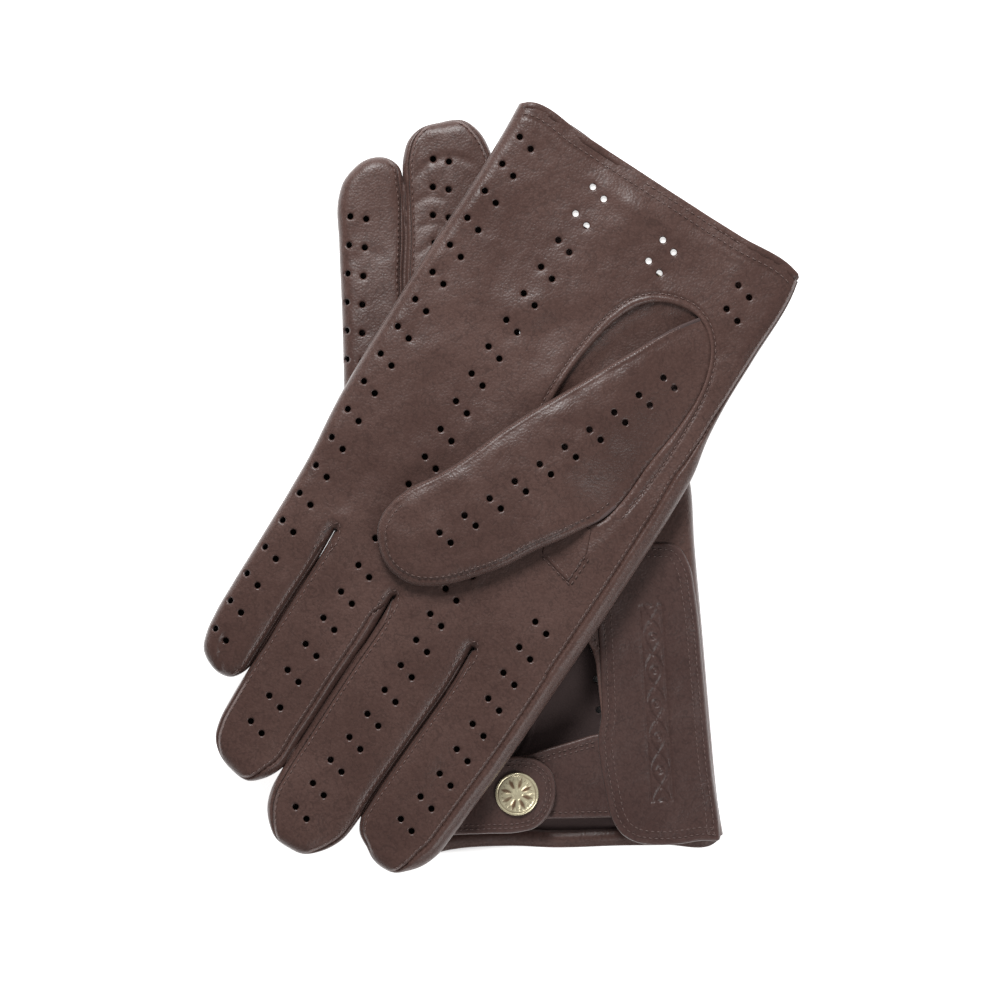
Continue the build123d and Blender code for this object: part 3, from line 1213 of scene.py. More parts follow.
@dataclass(frozen=True)
class LabelFinish(Finish):
    """A blank woven label: plain weave of fine warp and weft, with a painted glow that stands in for light
    let through the thin cloth.
    """

    # Painted light: strength of the glow that stands in for light let through the label; it is no lamp.
    glow: float = 0.6

    def make(self, groups: dict) -> bpy.types.Material:
        """The height is the product of two sine waves at right angles.

        Args:
            groups: the shared node groups by name.

        Returns:
            The material.
        """
        material, n, shader, place = self.start()
        axes = n.add("SeparateXYZ", {0: place})
        warp = n.math("SINE", n.math("MULTIPLY", axes.outputs["X"], 14000.0))
        weft = n.math("SINE", n.math("MULTIPLY", axes.outputs["Y"], 14000.0))
        weave = n.math("MULTIPLY_ADD", n.math("MULTIPLY", warp, weft), 0.5, 0.5)
        cloud = self.use(n, groups["cloud"], Vector=place, Size=0.02)
        colour = n.mix(n.math("MULTIPLY", weave, cloud.outputs["Mask"]), (*self.colour, 1), (*self.second, 1))
        self.finish(n, shader, colour, n.spread(weave, 0.0, 1.0, 0.7, 0.85), weave, 0.00006)
        # Painted light: the label glows white, though it is no lamp.
        shader.inputs["Emission Color"].default_value = (1.0, 1.0, 1.0, 1.0)
        shader.inputs["Emission Strength"].default_value = self.glow
        return material


@dataclass(frozen=True)
class MetalFinish(Finish):
    """Plated metal of a snap fastener, bright on its ridges and stained in its hollows."""

    rough: float = 0.3
    stained: float = 0.5
    metallic: float = 1.0

    def make(self, groups: dict) -> bpy.types.Material:
        """Stain gathers by the clouds' mask and where the wear attribute says the metal is hollow.

        Args:
            groups: the shared node groups by name.

        Returns:
            The material.
        """
        material, n, shader, place = self.start()
        cloud = self.use(n, groups["cloud"], Vector=place, Size=0.004)
        scratch = n.add("TexNoise", {"Vector": place, "Scale": 2600.0, "Detail": 4.0}).outputs["Fac"]
        hollow = n.add("Attribute", attribute_name="wear").outputs["Fac"]
        stain = n.math("MULTIPLY", n.spread(cloud.outputs["Mask"], 0.42, 0.6, 0.0, 1.0), self.stained)
        stain = n.math("MINIMUM", n.math("MULTIPLY_ADD", hollow, 0.85, n.math("MULTIPLY", stain, 0.6)), 1.0)
        colour = n.mix(stain, (*self.colour, 1), (*self.second, 1))
        roughness = n.math("ADD", n.math("MULTIPLY", stain, 0.22), self.rough)
        self.finish(n, shader, colour, roughness, scratch, 0.00001)
        shader.inputs["Metallic"].default_value = self.metallic
        return material


@dataclass
class Finishes:
    """All the finishes of the pair, made once around the shared groups."""

    made: dict = field(default_factory=dict)

    def build(self) -> None:
        """Makes the two shared groups and every material."""
        groups = {"grain": grain_group(), "cloud": cloud_group()}
        finishes = {
            "leather": LeatherFinish("brown_leather", (0.07, 0.035, 0.0285), (0.1, 0.053, 0.0435)),
            "panel": LeatherFinish(
                "panel_leather", (0.06, 0.0305, 0.0265), (0.08, 0.043, 0.037), rough=(0.32, 0.42)
            ),
            "flesh": FleshFinish("leather_inside", (0.075, 0.05, 0.048), (0.105, 0.073, 0.07)),
            "thread": ThreadFinish("brown_thread", (0.085, 0.048, 0.042), (0.22, 0.14, 0.12)),
            "label": LabelFinish("woven_label", (0.6, 0.58, 0.54), (0.86, 0.84, 0.8)),
            "cap": MetalFinish(
                "cap_metal", (0.9, 0.82, 0.56), (0.2, 0.12, 0.07), rough=0.24, stained=0.35, metallic=0.6
            ),
            "snap": MetalFinish("snap_metal", (0.6, 0.5, 0.33), (0.16, 0.1, 0.06), rough=0.34),
        }
        self.made = {key: finish.make(groups) for key, finish in finishes.items()}

    def __getitem__(self, key: str) -> bpy.types.Material:
        """The material of a finish."""
        return self.made[key]


# ---------------------------------------------------------------------------------------------
# The gloves


LEFT_DRAPE = Drape(
    back=((0, 16.2), (20, 17), (50, 17.4), (80, 17.5), (110, 17.3), (130, 16.8),
          (150, 16), (180, 14.2), (205, 12.4), (246, 10.2))
)
RIGHT_DRAPE = Drape()

RING = FingerShape(
    "ring",
    ((1.6, 156.5), (1, 170), (1.3, 190), (1.4, 210), (1.8, 222), (5, 228), (8.6, 231.2),
     (15, 231.2), (21.4, 228.8), (25.2, 225), (27, 219.5), (27.6, 212), (27.9, 204),
     (28.3, 190), (28.4, 170), (28.2, 155), (28.6, 148)),
    7, 3.2, 1.2,
)
LITTLE = FingerShape(
    "little",
    ((28.7, 148), (28.1, 160), (28, 180), (27.8, 195), (28.6, 202), (31.4, 206),
     (35.9, 207), (40.5, 205.6), (43.8, 203), (45.6, 198.5), (46.6, 192), (47.1, 180),
     (47.3, 165), (47.6, 148)),
    6, 1.3, 0,
)
LEFT_OUTLINE = Outline(
    thumb_side=((-53, 1.2), (-53.6, 4), (-54.4, 30), (-54.8, 48), (-56, 60), (-58.2, 71),
                (-59, 84), (-59.2, 107), (-59, 130)),
    fingers=(
        FingerShape(
            "index",
            ((-58.6, 150), (-57.9, 180), (-56.8, 200), (-56.2, 210), (-55.2, 219),
             (-53.2, 224), (-50, 228), (-46.8, 230.7), (-43.2, 231.4), (-38.6, 230.7),
             (-35, 228.6), (-30.4, 225.8), (-28.1, 221.5), (-27.5, 215), (-27.7, 208),
             (-28.4, 190), (-29.2, 170), (-28.9, 156)),
            8, 4.9, 1.2,
        ),
        FingerShape(
            "middle",
            ((-28.6, 156), (-29.4, 170), (-28.7, 190), (-28, 210), (-28, 221),
             (-26.6, 232), (-23, 238), (-19, 241.5), (-14, 242.4), (-8.6, 242),
             (-4.6, 239.3), (-1, 235), (1, 229.5), (1.6, 222), (1.7, 205), (1.5, 180),
             (1, 165), (1.4, 156)),
            8, 1.2, 2.1,
        ),
        RING,
        LITTLE,
    ),
    little_side=((48.6, 129), (49.7, 120), (50.6, 110), (51.1, 100), (51.6, 80), (51.8, 60),
                 (51.9, 18), (52.6, 5), (52.9, 1.5)),
)
RIGHT_OUTLINE = Outline(
    thumb_side=LEFT_OUTLINE.thumb_side,
    fingers=(
        FingerShape(
            "index",
            ((-57.9, 150), (-55.5, 182), (-54.2, 203), (-52.8, 218.3), (-50.5, 223.5),
             (-47.6, 226.5), (-43.3, 229.3), (-39.9, 230), (-35.8, 229.3), (-32.4, 226.4),
             (-31.2, 220), (-32.2, 204), (-34.5, 184), (-32.8, 168), (-28.8, 156)),
            7, 4.5, 1.6,
        ),
        FingerShape(
            "middle",
            ((-28.7, 156), (-33.2, 168.5), (-34.9, 184), (-32.6, 204), (-31.6, 220),
             (-30.6, 228.7), (-28.2, 234.4), (-24.5, 237.5), (-17.6, 239), (-9.5, 238.7),
             (-5.2, 234.8), (-2.2, 228), (-1.2, 218), (-0.6, 200), (0.2, 180), (1, 165),
             (1.2, 156)),
            8, 2.2, 1.6,
        ),
        RING,
        LITTLE,
    ),
    little_side=((48.6, 129), (50.4, 114), (49.7, 94), (49.4, 70), (49.1, 51), (48.8, 33),
                 (48.9, 5), (49.3, -1)),
)
LEFT_HEM = ((50, -0.3), (30, -0.7), (0, -0.5), (-30, -0.6), (-49.6, -1), (-52.2, -0.2))
BACK_HEM = ((48.2, -1.3), (40, -1.2), (30, -1), (14, -0.6), (-26, 9.3), (-38, 9.4),
            (-46, 8), (-50.5, 5.2))
RIGHT_PALM_HEM = ((46.8, -3.4), (30.3, -2.5), (14.7, -1.1), (-5.5, 0.5), (-20.3, 2.6), (-43.2, 3),
                  (-51, 1.4))

PALM_ROWS = (
    PunchedRow(((44.2, 11.5), (44.2, 70), (43.9, 100), (42.8, 125), (41.9, 144), (41.9, 165),
                (42.3, 180), (41.3, 196)), 19),
    PunchedRow(((16, 12.3), (16.2, 62), (16.4, 80), (15.6, 95), (14.5, 112), (13.8, 135),
                (13.7, 160), (14.2, 182), (14.8, 198), (15.7, 214.8)), 21),
    PunchedRow(((-11.9, 14.5), (-11.7, 22.6)), 2),
    PunchedRow(((-13.7, 135.8), (-13.8, 150), (-14.8, 166), (-14.9, 183), (-13.8, 200),
                (-12.4, 212), (-11.2, 230.3)), 11),
    PunchedRow(((-39.9, 13.6), (-40.8, 22)), 2),
    PunchedRow(((-43.5, 138.7), (-43.7, 155), (-44.4, 176), (-44.2, 196), (-41.6, 215.2)), 9),
)
THUMB_ROW = PunchedRow(((-35.6, 51.2), (-19.5, 90.5), (-2.4, 130.9)), 10, 4.7, 0.8)
LEFT_BACK_ROWS = (
    PunchedRow(((-44, 162.6), (-43, 210.4)), 6),
    PunchedRow(((-13.9, 159.4), (-11.9, 225.6)), 8),
    PunchedRow(((14.2, 159.1), (15, 209.7)), 6),
    PunchedRow(((41.6, 170.4), (41.3, 190.9)), 3),
)
RIGHT_BACK_ROWS = (
    PunchedRow(((-53, 164.5), (-51.2, 182), (-47, 210.5)), 6),
    PunchedRow(((-18.6, 162.5), (-20.4, 185), (-20.6, 204), (-18.4, 226.2)), 8),
    PunchedRow(((16, 162), (16, 215)), 6),
    PunchedRow(((39, 160), (38.6, 192)), 4),
)
THUMB_OVAL = ((-43.6, 90), (-43.9, 80), (-45.9, 60), (-45.9, 50), (-44.5, 42.7), (-41.4, 35.5),
              (-36.8, 30.6), (-31.4, 28.3), (-25.9, 28.6), (-20.5, 30.3), (-15.9, 33.6), (-12.3, 39),
              (-10, 45.5), (-8.6, 52.7), (-7.5, 61), (-7.3, 70), (-8, 78), (-11, 88),
              (-17, 97), (-25, 103), (-34, 105), (-41, 100))
OVAL_STITCH = ((-46.2, 96), (-47.3, 87), (-48.2, 75), (-48.2, 60), (-47.3, 48), (-44.5, 38),
               (-40.5, 31.6), (-35, 27.3), (-28.6, 25.6), (-22.3, 26.8), (-15.9, 29.8), (-11.4, 34.5),
               (-8, 42), (-6.2, 51), (-5.1, 61), (-4.8, 71), (-5.3, 80))
OVAL_WELT = ((-44.9, 93), (-45.6, 84), (-46.2, 75), (-47, 60), (-46.6, 49), (-44.4, 40.5),
             (-41, 33.6), (-36, 28.9), (-30, 26.9), (-24, 27.7), (-18, 30.2), (-13.6, 34.3),
             (-10.2, 40.5), (-8.2, 47.5), (-6.8, 56), (-6.1, 65), (-6.1, 74), (-7, 80))
RIDGE = ((-32.4, 28.5), (-30.4, 31.2), (-20, 50), (-10, 70), (-3.2, 83.6), (1.8, 95),
         (5.5, 105), (10.5, 115.5), (15.5, 123.6), (17.6, 129))
THUMB_EDGE = ((17.6, 129), (18.4, 134.5), (17.3, 140), (14.1, 144.5), (9.5, 148.2), (4.1, 149.5),
              (-1.4, 149.1), (-6.8, 146.4), (-11.4, 142.7), (-17.7, 135.5), (-23.2, 128.4),
              (-28.6, 119), (-32.7, 113), (-37.7, 105), (-41.4, 98.6), (-42.9, 94))
THUMB_SEWN = ((-42.9, 94), (-43.7, 87), (-43.9, 80), (-45.9, 60), (-45.9, 50), (-44.5, 42.7),
              (-41.4, 35.5), (-36.8, 30.6), (-32.4, 28.5))
QUIRK = ((-43, 121.8), (-36.5, 120.2), (-31, 118.6), (-28, 112), (-33, 105), (-40, 103.5),
         (-42.9, 110.5))


@dataclass
class Glove:
    """One glove: hand, fingers, thumb, cuff and fastening, each leather piece a method."""

    side: Side
    place: Place
    drape: Drape
    outline: Outline
    palm_hem: tuple
    back_rows: tuple
    finishes: Finishes
    opening: tuple = (-26.0, 14.0, 78.0)
    hem_depth: float = 5.5
    tab_hem: float = 9.8
    corner: float = 8.0
    stitch_margin: float = 2.2
    thumb_rise: float = 0.84
    forks: tuple = ((-28.7, 156.0), (1.4, 156.0), (28.7, 148.0))
    fork_stitches: tuple = ((-2.4, 9.0), (-2.5, 1.0), (0.0, -2.7), (2.5, 1.0), (2.4, 9.0))
    edge_rows: tuple = (0.22, 0.55, 1.0, 1.6, 2.3, 3.1, 4.0, 5.0)
    shell: Shell = None
    maker: Maker = None

    def prepare(self) -> None:
        """Samples the outline and lays the seams, folds and swellings on the shell."""
        self.outline.build()
        self.maker = Maker(self.side, self.place)
        left = self.side is Side.LEFT
        palm_marks = (
            Crease(tuple(OVAL_STITCH), -0.42, 0.45, 0.04),
            Crease(tuple(OVAL_WELT), 0.42, 0.75, 0.04),
            Crease(((-42.7, 116.0), (-46.0, 104.0), (-49.0, 90.0)), 0.5, 2.2),
            Crease(((-50.0, 118.0), (-49.5, 150.0), (-50.5, 185.0)), 0.25, 3.0),
            Crease(((33.5, 208.0), (37.0, 203.0), (39.5, 197.5), (40.5, 192.0)), -0.9, 0.9),
            Crease(((24.0, 63.0), (9.0, 50.0), (-5.0, 38.0)), 0.8, 5.0),
            Crease(((20.0, 70.0), (10.0, 62.0), (0.0, 52.0)), -0.35, 3.0),
            Crease(((-26.0, 150.0), (-22.0, 141.0), (-20.0, 132.0)), -0.35, 2.0),
            Crease(((4.0, 152.0), (6.0, 143.0), (6.0, 132.0)), -0.35, 2.2),
            Crease(((30.0, 144.0), (30.5, 134.0), (29.0, 122.0)), -0.4, 2.4),
            Crease(((24.0, 118.0), (32.0, 96.0), (34.0, 74.0)), 0.35, 5.0),
            Crease(((2.0, 66.0), (8.0, 50.0), (12.0, 34.0)), -0.3, 5.0),
            Swell((3.0, 9.5), (16.0, 3.6), 0.0, 0.9),
            Swell((28.0, 30.0), (10.0, 26.0), 8.0, -0.5),
            Swell((-20.0, 16.0), (12.0, 8.0), 10.0, -0.35),
        )
        fingers = tuple(
            Swell((x, y), (9.0, 13.0), 0.0, h)
            for x, y, h in (
                (-43.0, 216.0, 0.5), (-43.0, 180.0, -0.25), (-13.0, 226.0, 0.5), (-13.0, 190.0, -0.3),
                (15.0, 216.0, 0.5), (15.0, 182.0, -0.3), (38.0, 192.0, 0.4), (38.0, 165.0, -0.2),
            )
        )
        back_marks = (
            Crease(((-28.0, 220.0), (-22.0, 226.0), (-14.0, 227.0), (-6.0, 222.0)), -0.45, 1.2),
            Crease(((-30.0, 212.0), (-24.0, 215.0), (-17.0, 213.0)), -0.4, 1.1),
            Crease(((-31.0, 196.0), (-25.0, 199.0), (-20.0, 205.0)), -0.35, 1.0),
            Crease(((-30.0, 205.0), (-23.0, 206.0), (-16.0, 203.0), (-9.0, 206.0)), -0.35, 1.1),
            Crease(((-29.0, 186.0), (-20.0, 190.0), (-10.0, 188.0)), -0.4, 1.2),
            Crease(((-52.0, 196.0), (-45.0, 199.0), (-38.0, 196.0)), -0.2, 1.5),
            Crease(((20.0, 150.0), (24.0, 130.0), (30.0, 110.0)), 0.35, 4.0),
        )
        self.shell = Shell(self.drape, self.outline, seed=3 if left else 8, palm_marks=palm_marks + fingers)
        self.shell.back_marks = back_marks + fingers
        self.shell.calm = 1.0 if left else 0.8
        for face, store in ((Face.PALM, self.shell.palm_seams), (Face.BACK, self.shell.back_seams)):
            for path in self.seam_paths(face):
                store.append((path, 0.5, 0.42))
        self.shell.palm_seams.append((self.hem_line(self.hem_depth), 0.12, 0.4))

    def seam_paths(self, face: Face) -> list:
        """The seams of one side that run clear of the outline."""
        inset = self.outline.palm_inset if face is Face.PALM else self.outline.back_inset
        return portions(self.outline.seam(face), inset > 0.45)

    def hem_line(self, above: float, back: bool = False) -> np.ndarray:
        """The hem's edge, or a line above it, from the little-finger side to the thumb side.

        Args:
            above: distance above the edge.
            back: whether it is the back's.

        Returns:
            Points along the line.
        """
        points = BACK_HEM if back else self.palm_hem
        path = curve((tuple(self.outline.path[-1]), *points, tuple(self.outline.path[0])), 1.1)
        return path + [0.0, above] if above else path

    def lift(self, face: Face, above: float = 0.0) -> Lift:
        """Places points on one side of the shell, or above it."""
        return Lift(lambda at: self.shell.height(at, face) + face.value * above, face.value)

    def rub(self, at: np.ndarray, lines: list) -> np.ndarray:
        """How rubbed the leather is: a bell around each seam or edge.

        Args:
            at: points of the plane.
            lines: the seams and edges.

        Returns:
            Wear from 0 to 1 at each point.
        """
        wear = np.zeros(len(at))
        for line in lines:
            wear = np.maximum(wear, np.exp(-((nearest(at, line)[0] / 0.9) ** 2)))
        return wear

    def panel(self, loop: np.ndarray, cuts: list, punched: np.ndarray, rows: list, face: Face) -> tuple:
        """A flat pattern lifted onto one side of the shell, as its surface and its flat points.

        Args:
            loop: the outline.
            cuts: outlines of cut-outs.
            punched: middles of the holes.
            rows: more points beside the seams.
            face: the side.

        Returns:
            The surface and the flat points.
        """
        extra = np.vstack([ring_points(self.outline.path, self.edge_rows), *rows])
        flat, triangles = triangulate(loop, cuts, punched, HOLE_RADIUS, extra)
        height = self.shell.height(flat, face)
        if punched is not None and len(punched):
            near = np.sqrt(((flat[:, None] - punched[None]) ** 2).sum(2)).min(1)
            height = height - face.value * 0.16 * np.exp(-(((near - HOLE_RADIUS) / 0.45) ** 2))
        faces = triangles if face is Face.PALM else triangles[:, ::-1]
        return Surface(np.column_stack([flat, height]), [faces]), flat

    def edge_strip(self, keep: np.ndarray, from_palm: bool, to_back: bool) -> list:
        """Strips round the glove's edge between the palm's seam and the back's.

        A row is the outline moved in by a share of the seam's inset; the share's square root falls
        evenly to nothing at the outline and rises again on the back.

        Args:
            keep: where along the outline a strip is wanted.
            from_palm: whether it starts at the palm's seam.
            to_back: whether it ends at the back's.

        Returns:
            One surface for each unbroken stretch.
        """
        share = np.linspace(1.0, 0.0, 8) ** 1.8
        strips = []
        edges = np.flatnonzero(np.diff(np.concatenate([[0], keep.astype(int), [0]])))
        for a, b in zip(edges[::2], edges[1::2]):
            if b - a < 6:
                continue
            path, normal = self.outline.path[a:b], inward(self.outline.path)[a:b]
            rows = []
            palm_step = normal * self.outline.palm_inset[a:b, None]
            back_step = normal * self.outline.back_inset[a:b, None]
            if from_palm:
                rows += [self.shell.lift(path + s * palm_step, Face.PALM) for s in share]
            if to_back:
                rows += [self.shell.lift(path + s * back_step, Face.BACK) for s in share[::-1][1:]]
            strips.append(Surface(np.vstack(rows), [grid_faces(len(rows), b - a)]))
        return strips

    def build(self) -> None:
        """Makes every piece of the glove."""
        self.prepare()
        self.palm()
        self.back()
        self.fourchettes()
        self.hems()
        Thumb(self).build()
        Cuff(self).build()
        self.seams()

    def palm(self) -> None:
        """The palm with the four finger fronts in one piece, cut out for the thumb."""
        loop = np.vstack([self.outline.seam(Face.PALM), self.hem_line(0.0)[1:-1]])
        oval = curve(THUMB_OVAL, 1.1, closed=True)[::-1]
        punched = np.vstack([row.centres() for row in PALM_ROWS])
        seams = self.seam_paths(Face.PALM)
        rows = [ring_points(path, (0.3, 0.6, 1.0, 1.6)) for path in seams]
        welt = curve(OVAL_STITCH, 1.1)
        rows += [ring_points(welt, (-1.2, -0.6, -0.3, 0.001, 0.3, 0.6, 0.9, 1.2, 1.5, 1.8, 2.1))]
        rows += [ring_points(self.hem_line(self.hem_depth), (-0.9, -0.4, 0.001, 0.4, 0.9))]
        surface, flat = self.panel(loop, [oval], punched, rows, Face.PALM)
        wear = self.rub(flat, seams + [oval, self.hem_line(0.0)])
        leather, flesh = self.finishes["leather"], self.finishes["flesh"]
        fronts = [f"{name}_front" for name in ("index", "middle", "ring", "little")]
        nodes = ("palm", *fronts)
        slots = [leather, flesh]
        self.maker.piece("palm_leather", surface, slots, "leather", nodes, "fingers", LEATHER, wear)

    def back(self) -> None:
        """The back with the four finger backs, the wrist opening, and the wrap round the index side."""
        low, high, top = self.opening
        radius = (high - low) / 2
        angle = np.linspace(0, math.pi, 32)
        arch = np.column_stack([low + radius + radius * np.cos(angle), top - radius + radius * np.sin(angle)])
        hem = self.hem_line(0.0, back=True)[1:-1]
        right, left = hem[hem[:, 0] > high + self.corner], hem[hem[:, 0] < low]
        side = np.arange(0.2, top - radius, 1.2)
        up = np.column_stack([high + self.corner * np.maximum(0, 1 - side / 9.0) ** 2, side])
        side = side[side > self.tab_hem][::-1]
        down = np.column_stack([np.full(len(side), low), side])
        loop = np.vstack([self.outline.seam(Face.BACK), right, up, arch, down, left])
        punched = np.vstack([row.centres() for row in self.back_rows])
        seams = self.seam_paths(Face.BACK)
        mouth = np.vstack([up, arch, down])
        rows = [ring_points(path, (0.3, 0.6, 1.0, 1.6)) for path in seams]
        rows += [ring_points(mouth, (0.4, 0.9, 1.6, 2.4))]
        surface, flat = self.panel(loop, [], punched, rows, Face.BACK)
        rim = np.exp(-((nearest(flat, mouth)[0] / 1.1) ** 2))
        surface.points[:, 2] -= 0.35 * rim
        wear = self.rub(flat, seams + [mouth])
        outline = self.outline
        index_side = (outline.owner <= 1) & (outline.palm_inset > 0.02) & (outline.back_inset == 0)
        strips = self.edge_strip(index_side, True, False)
        for strip in strips:
            surface = surface.joined(strip)
            wear = np.concatenate([wear, np.full(len(strip.points), 0.1)])
        leather, flesh = self.finishes["leather"], self.finishes["flesh"]
        nodes = ("back", *[f"{name}_back" for name in ("index", "middle", "ring", "little")])
        self.maker.piece(
            "back_leather", surface, [leather, flesh], "leather", nodes, "fingers", LEATHER, wear, 0.02
        )

    def fourchettes(self) -> None:
        """The narrow strips between the fingers, from the palm's seam round the edge to the back's."""
        leather, flesh = self.finishes["leather"], self.finishes["flesh"]
        numbers = {finger.name: k + 1 for k, finger in enumerate(self.outline.fingers)}
        inset = (self.outline.palm_inset > 0.02) & (self.outline.back_inset > 0.02)
        tips = {finger.name: finger.points[finger.apex][0] for finger in self.outline.fingers}
        for name, number in numbers.items():
            own = inset & (self.outline.owner == number)
            thumbward = self.outline.path[:, 0] < tips[name]
            for words, half in (("thumb_side", thumbward), ("little_side", ~thumbward)):
                strips = self.edge_strip(own & half, True, True)
                if not strips or (name == "index" and words == "thumb_side"):
                    continue
                node = f"{name}_fourchette_{words}"
                self.maker.piece(
                    f"{node}_leather", gather(strips), [leather, flesh], "leather", (node,), "fingers", 0.7
                )

    def hems(self) -> None:
        """The cuff's rolled hems: a half round over the edge, then a strip back up the inside."""
        turn = np.linspace(0.0, math.pi, 9)
        for name, face, nodes in (("palm", Face.PALM, ("palm_hem",)), ("back", Face.BACK, ("back_hem",))):
            back = face is Face.BACK
            path = self.hem_line(0.0, back)
            reach = nearest(path, self.outline.path)[0]
            clear = reach > 1.4
            if back:
                clear &= (path[:, 0] > self.opening[1] + self.corner) | (path[:, 0] < self.opening[0])
            runs = portions(path, clear)
            pieces = []
            for run in runs:
                top = self.shell.height(run + [0.0, 0.5], face) + face.value * 0.05
                out = 0.55 - 0.85 * np.sin(turn)
                down = 0.85 * (1 - np.cos(turn))
                across = np.concatenate([[2.2, 1.1], out, [1.0, 1.6, 2.3, 3.0, 3.8, 4.6, self.hem_depth]])
                depth = np.concatenate([[-0.02, 0.0], down, [2.1, 2.45, 2.65, 2.7, 2.5, 2.1, 1.6]])
                x = np.repeat(run[None, :, 0], len(across), 0)
                y = run[None, :, 1] + across[:, None]
                z = top[None] - face.value * depth[:, None]
                points = np.stack([x, y, z], axis=-1).reshape(-1, 3)
                strip = Surface(points, [grid_faces(len(across), len(run))])
                pieces.append(strip.turned() if back else strip)
            leather = self.finishes["leather"]
            self.maker.piece(f"{name}_hem_roll", gather(pieces), [leather], "leather", nodes, "hand", 0.4)

    def well_inside(self, at: np.ndarray) -> np.ndarray:
        """Whether each point lies more than the stitch margin inside the glove's outline."""
        path = self.outline.path
        return (nearest(at, path)[0] > self.stitch_margin) & inside(at, path)

    def seams(self) -> None:
        """Stitches along the finger seams of both sides and along the hem."""
        stitching = Stitching()
        rows = []
        for face in Face:
            for path in self.seam_paths(face):
                beside = path + inward(path) * 0.95
                rows.append(stitching.row(beside, self.lift(face)))
            for x, y in self.forks:
                around = np.array([x, y]) + self.fork_stitches
                rows.append(stitching.row(curve(around, 0.4), self.lift(face)))
        self.maker.piece("finger_stitches", gather(rows), [self.finishes["thread"]], "thread", (), "fingers")
        rows = []
        for above in (1.9, 4.3):
            front = self.hem_line(above)
            for run in portions(front, self.well_inside(front)):
                rows.append(stitching.row(run, self.lift(Face.PALM)))
            rear = self.hem_line(above, back=True)
            beside = (rear[:, 0] > self.opening[1] + 10) | (rear[:, 0] < self.opening[0] - 1)
            for run in portions(rear, beside & self.well_inside(rear)):
                rows.append(stitching.row(run, self.lift(Face.BACK)))
        welt = curve(OVAL_STITCH, 0.8)
        rows.append(stitching.row(welt, self.lift(Face.PALM, 0.1)))
        low, high, top = self.opening
        radius = (high - low) / 2 + 2.2
        angle = np.linspace(0, math.pi, 60)
        centre = np.array([(low + high) / 2, top - radius + 2.2])
        arch = centre + radius * np.column_stack([np.cos(angle), np.sin(angle)])
        arch = np.vstack([[high + 2.2, 40.0], arch, [low - 2.2, 36.0]])
        rows.append(stitching.row(arch, self.lift(Face.BACK, 0.1)))
        self.maker.piece("hand_stitches", gather(rows), [self.finishes["thread"]], "thread")


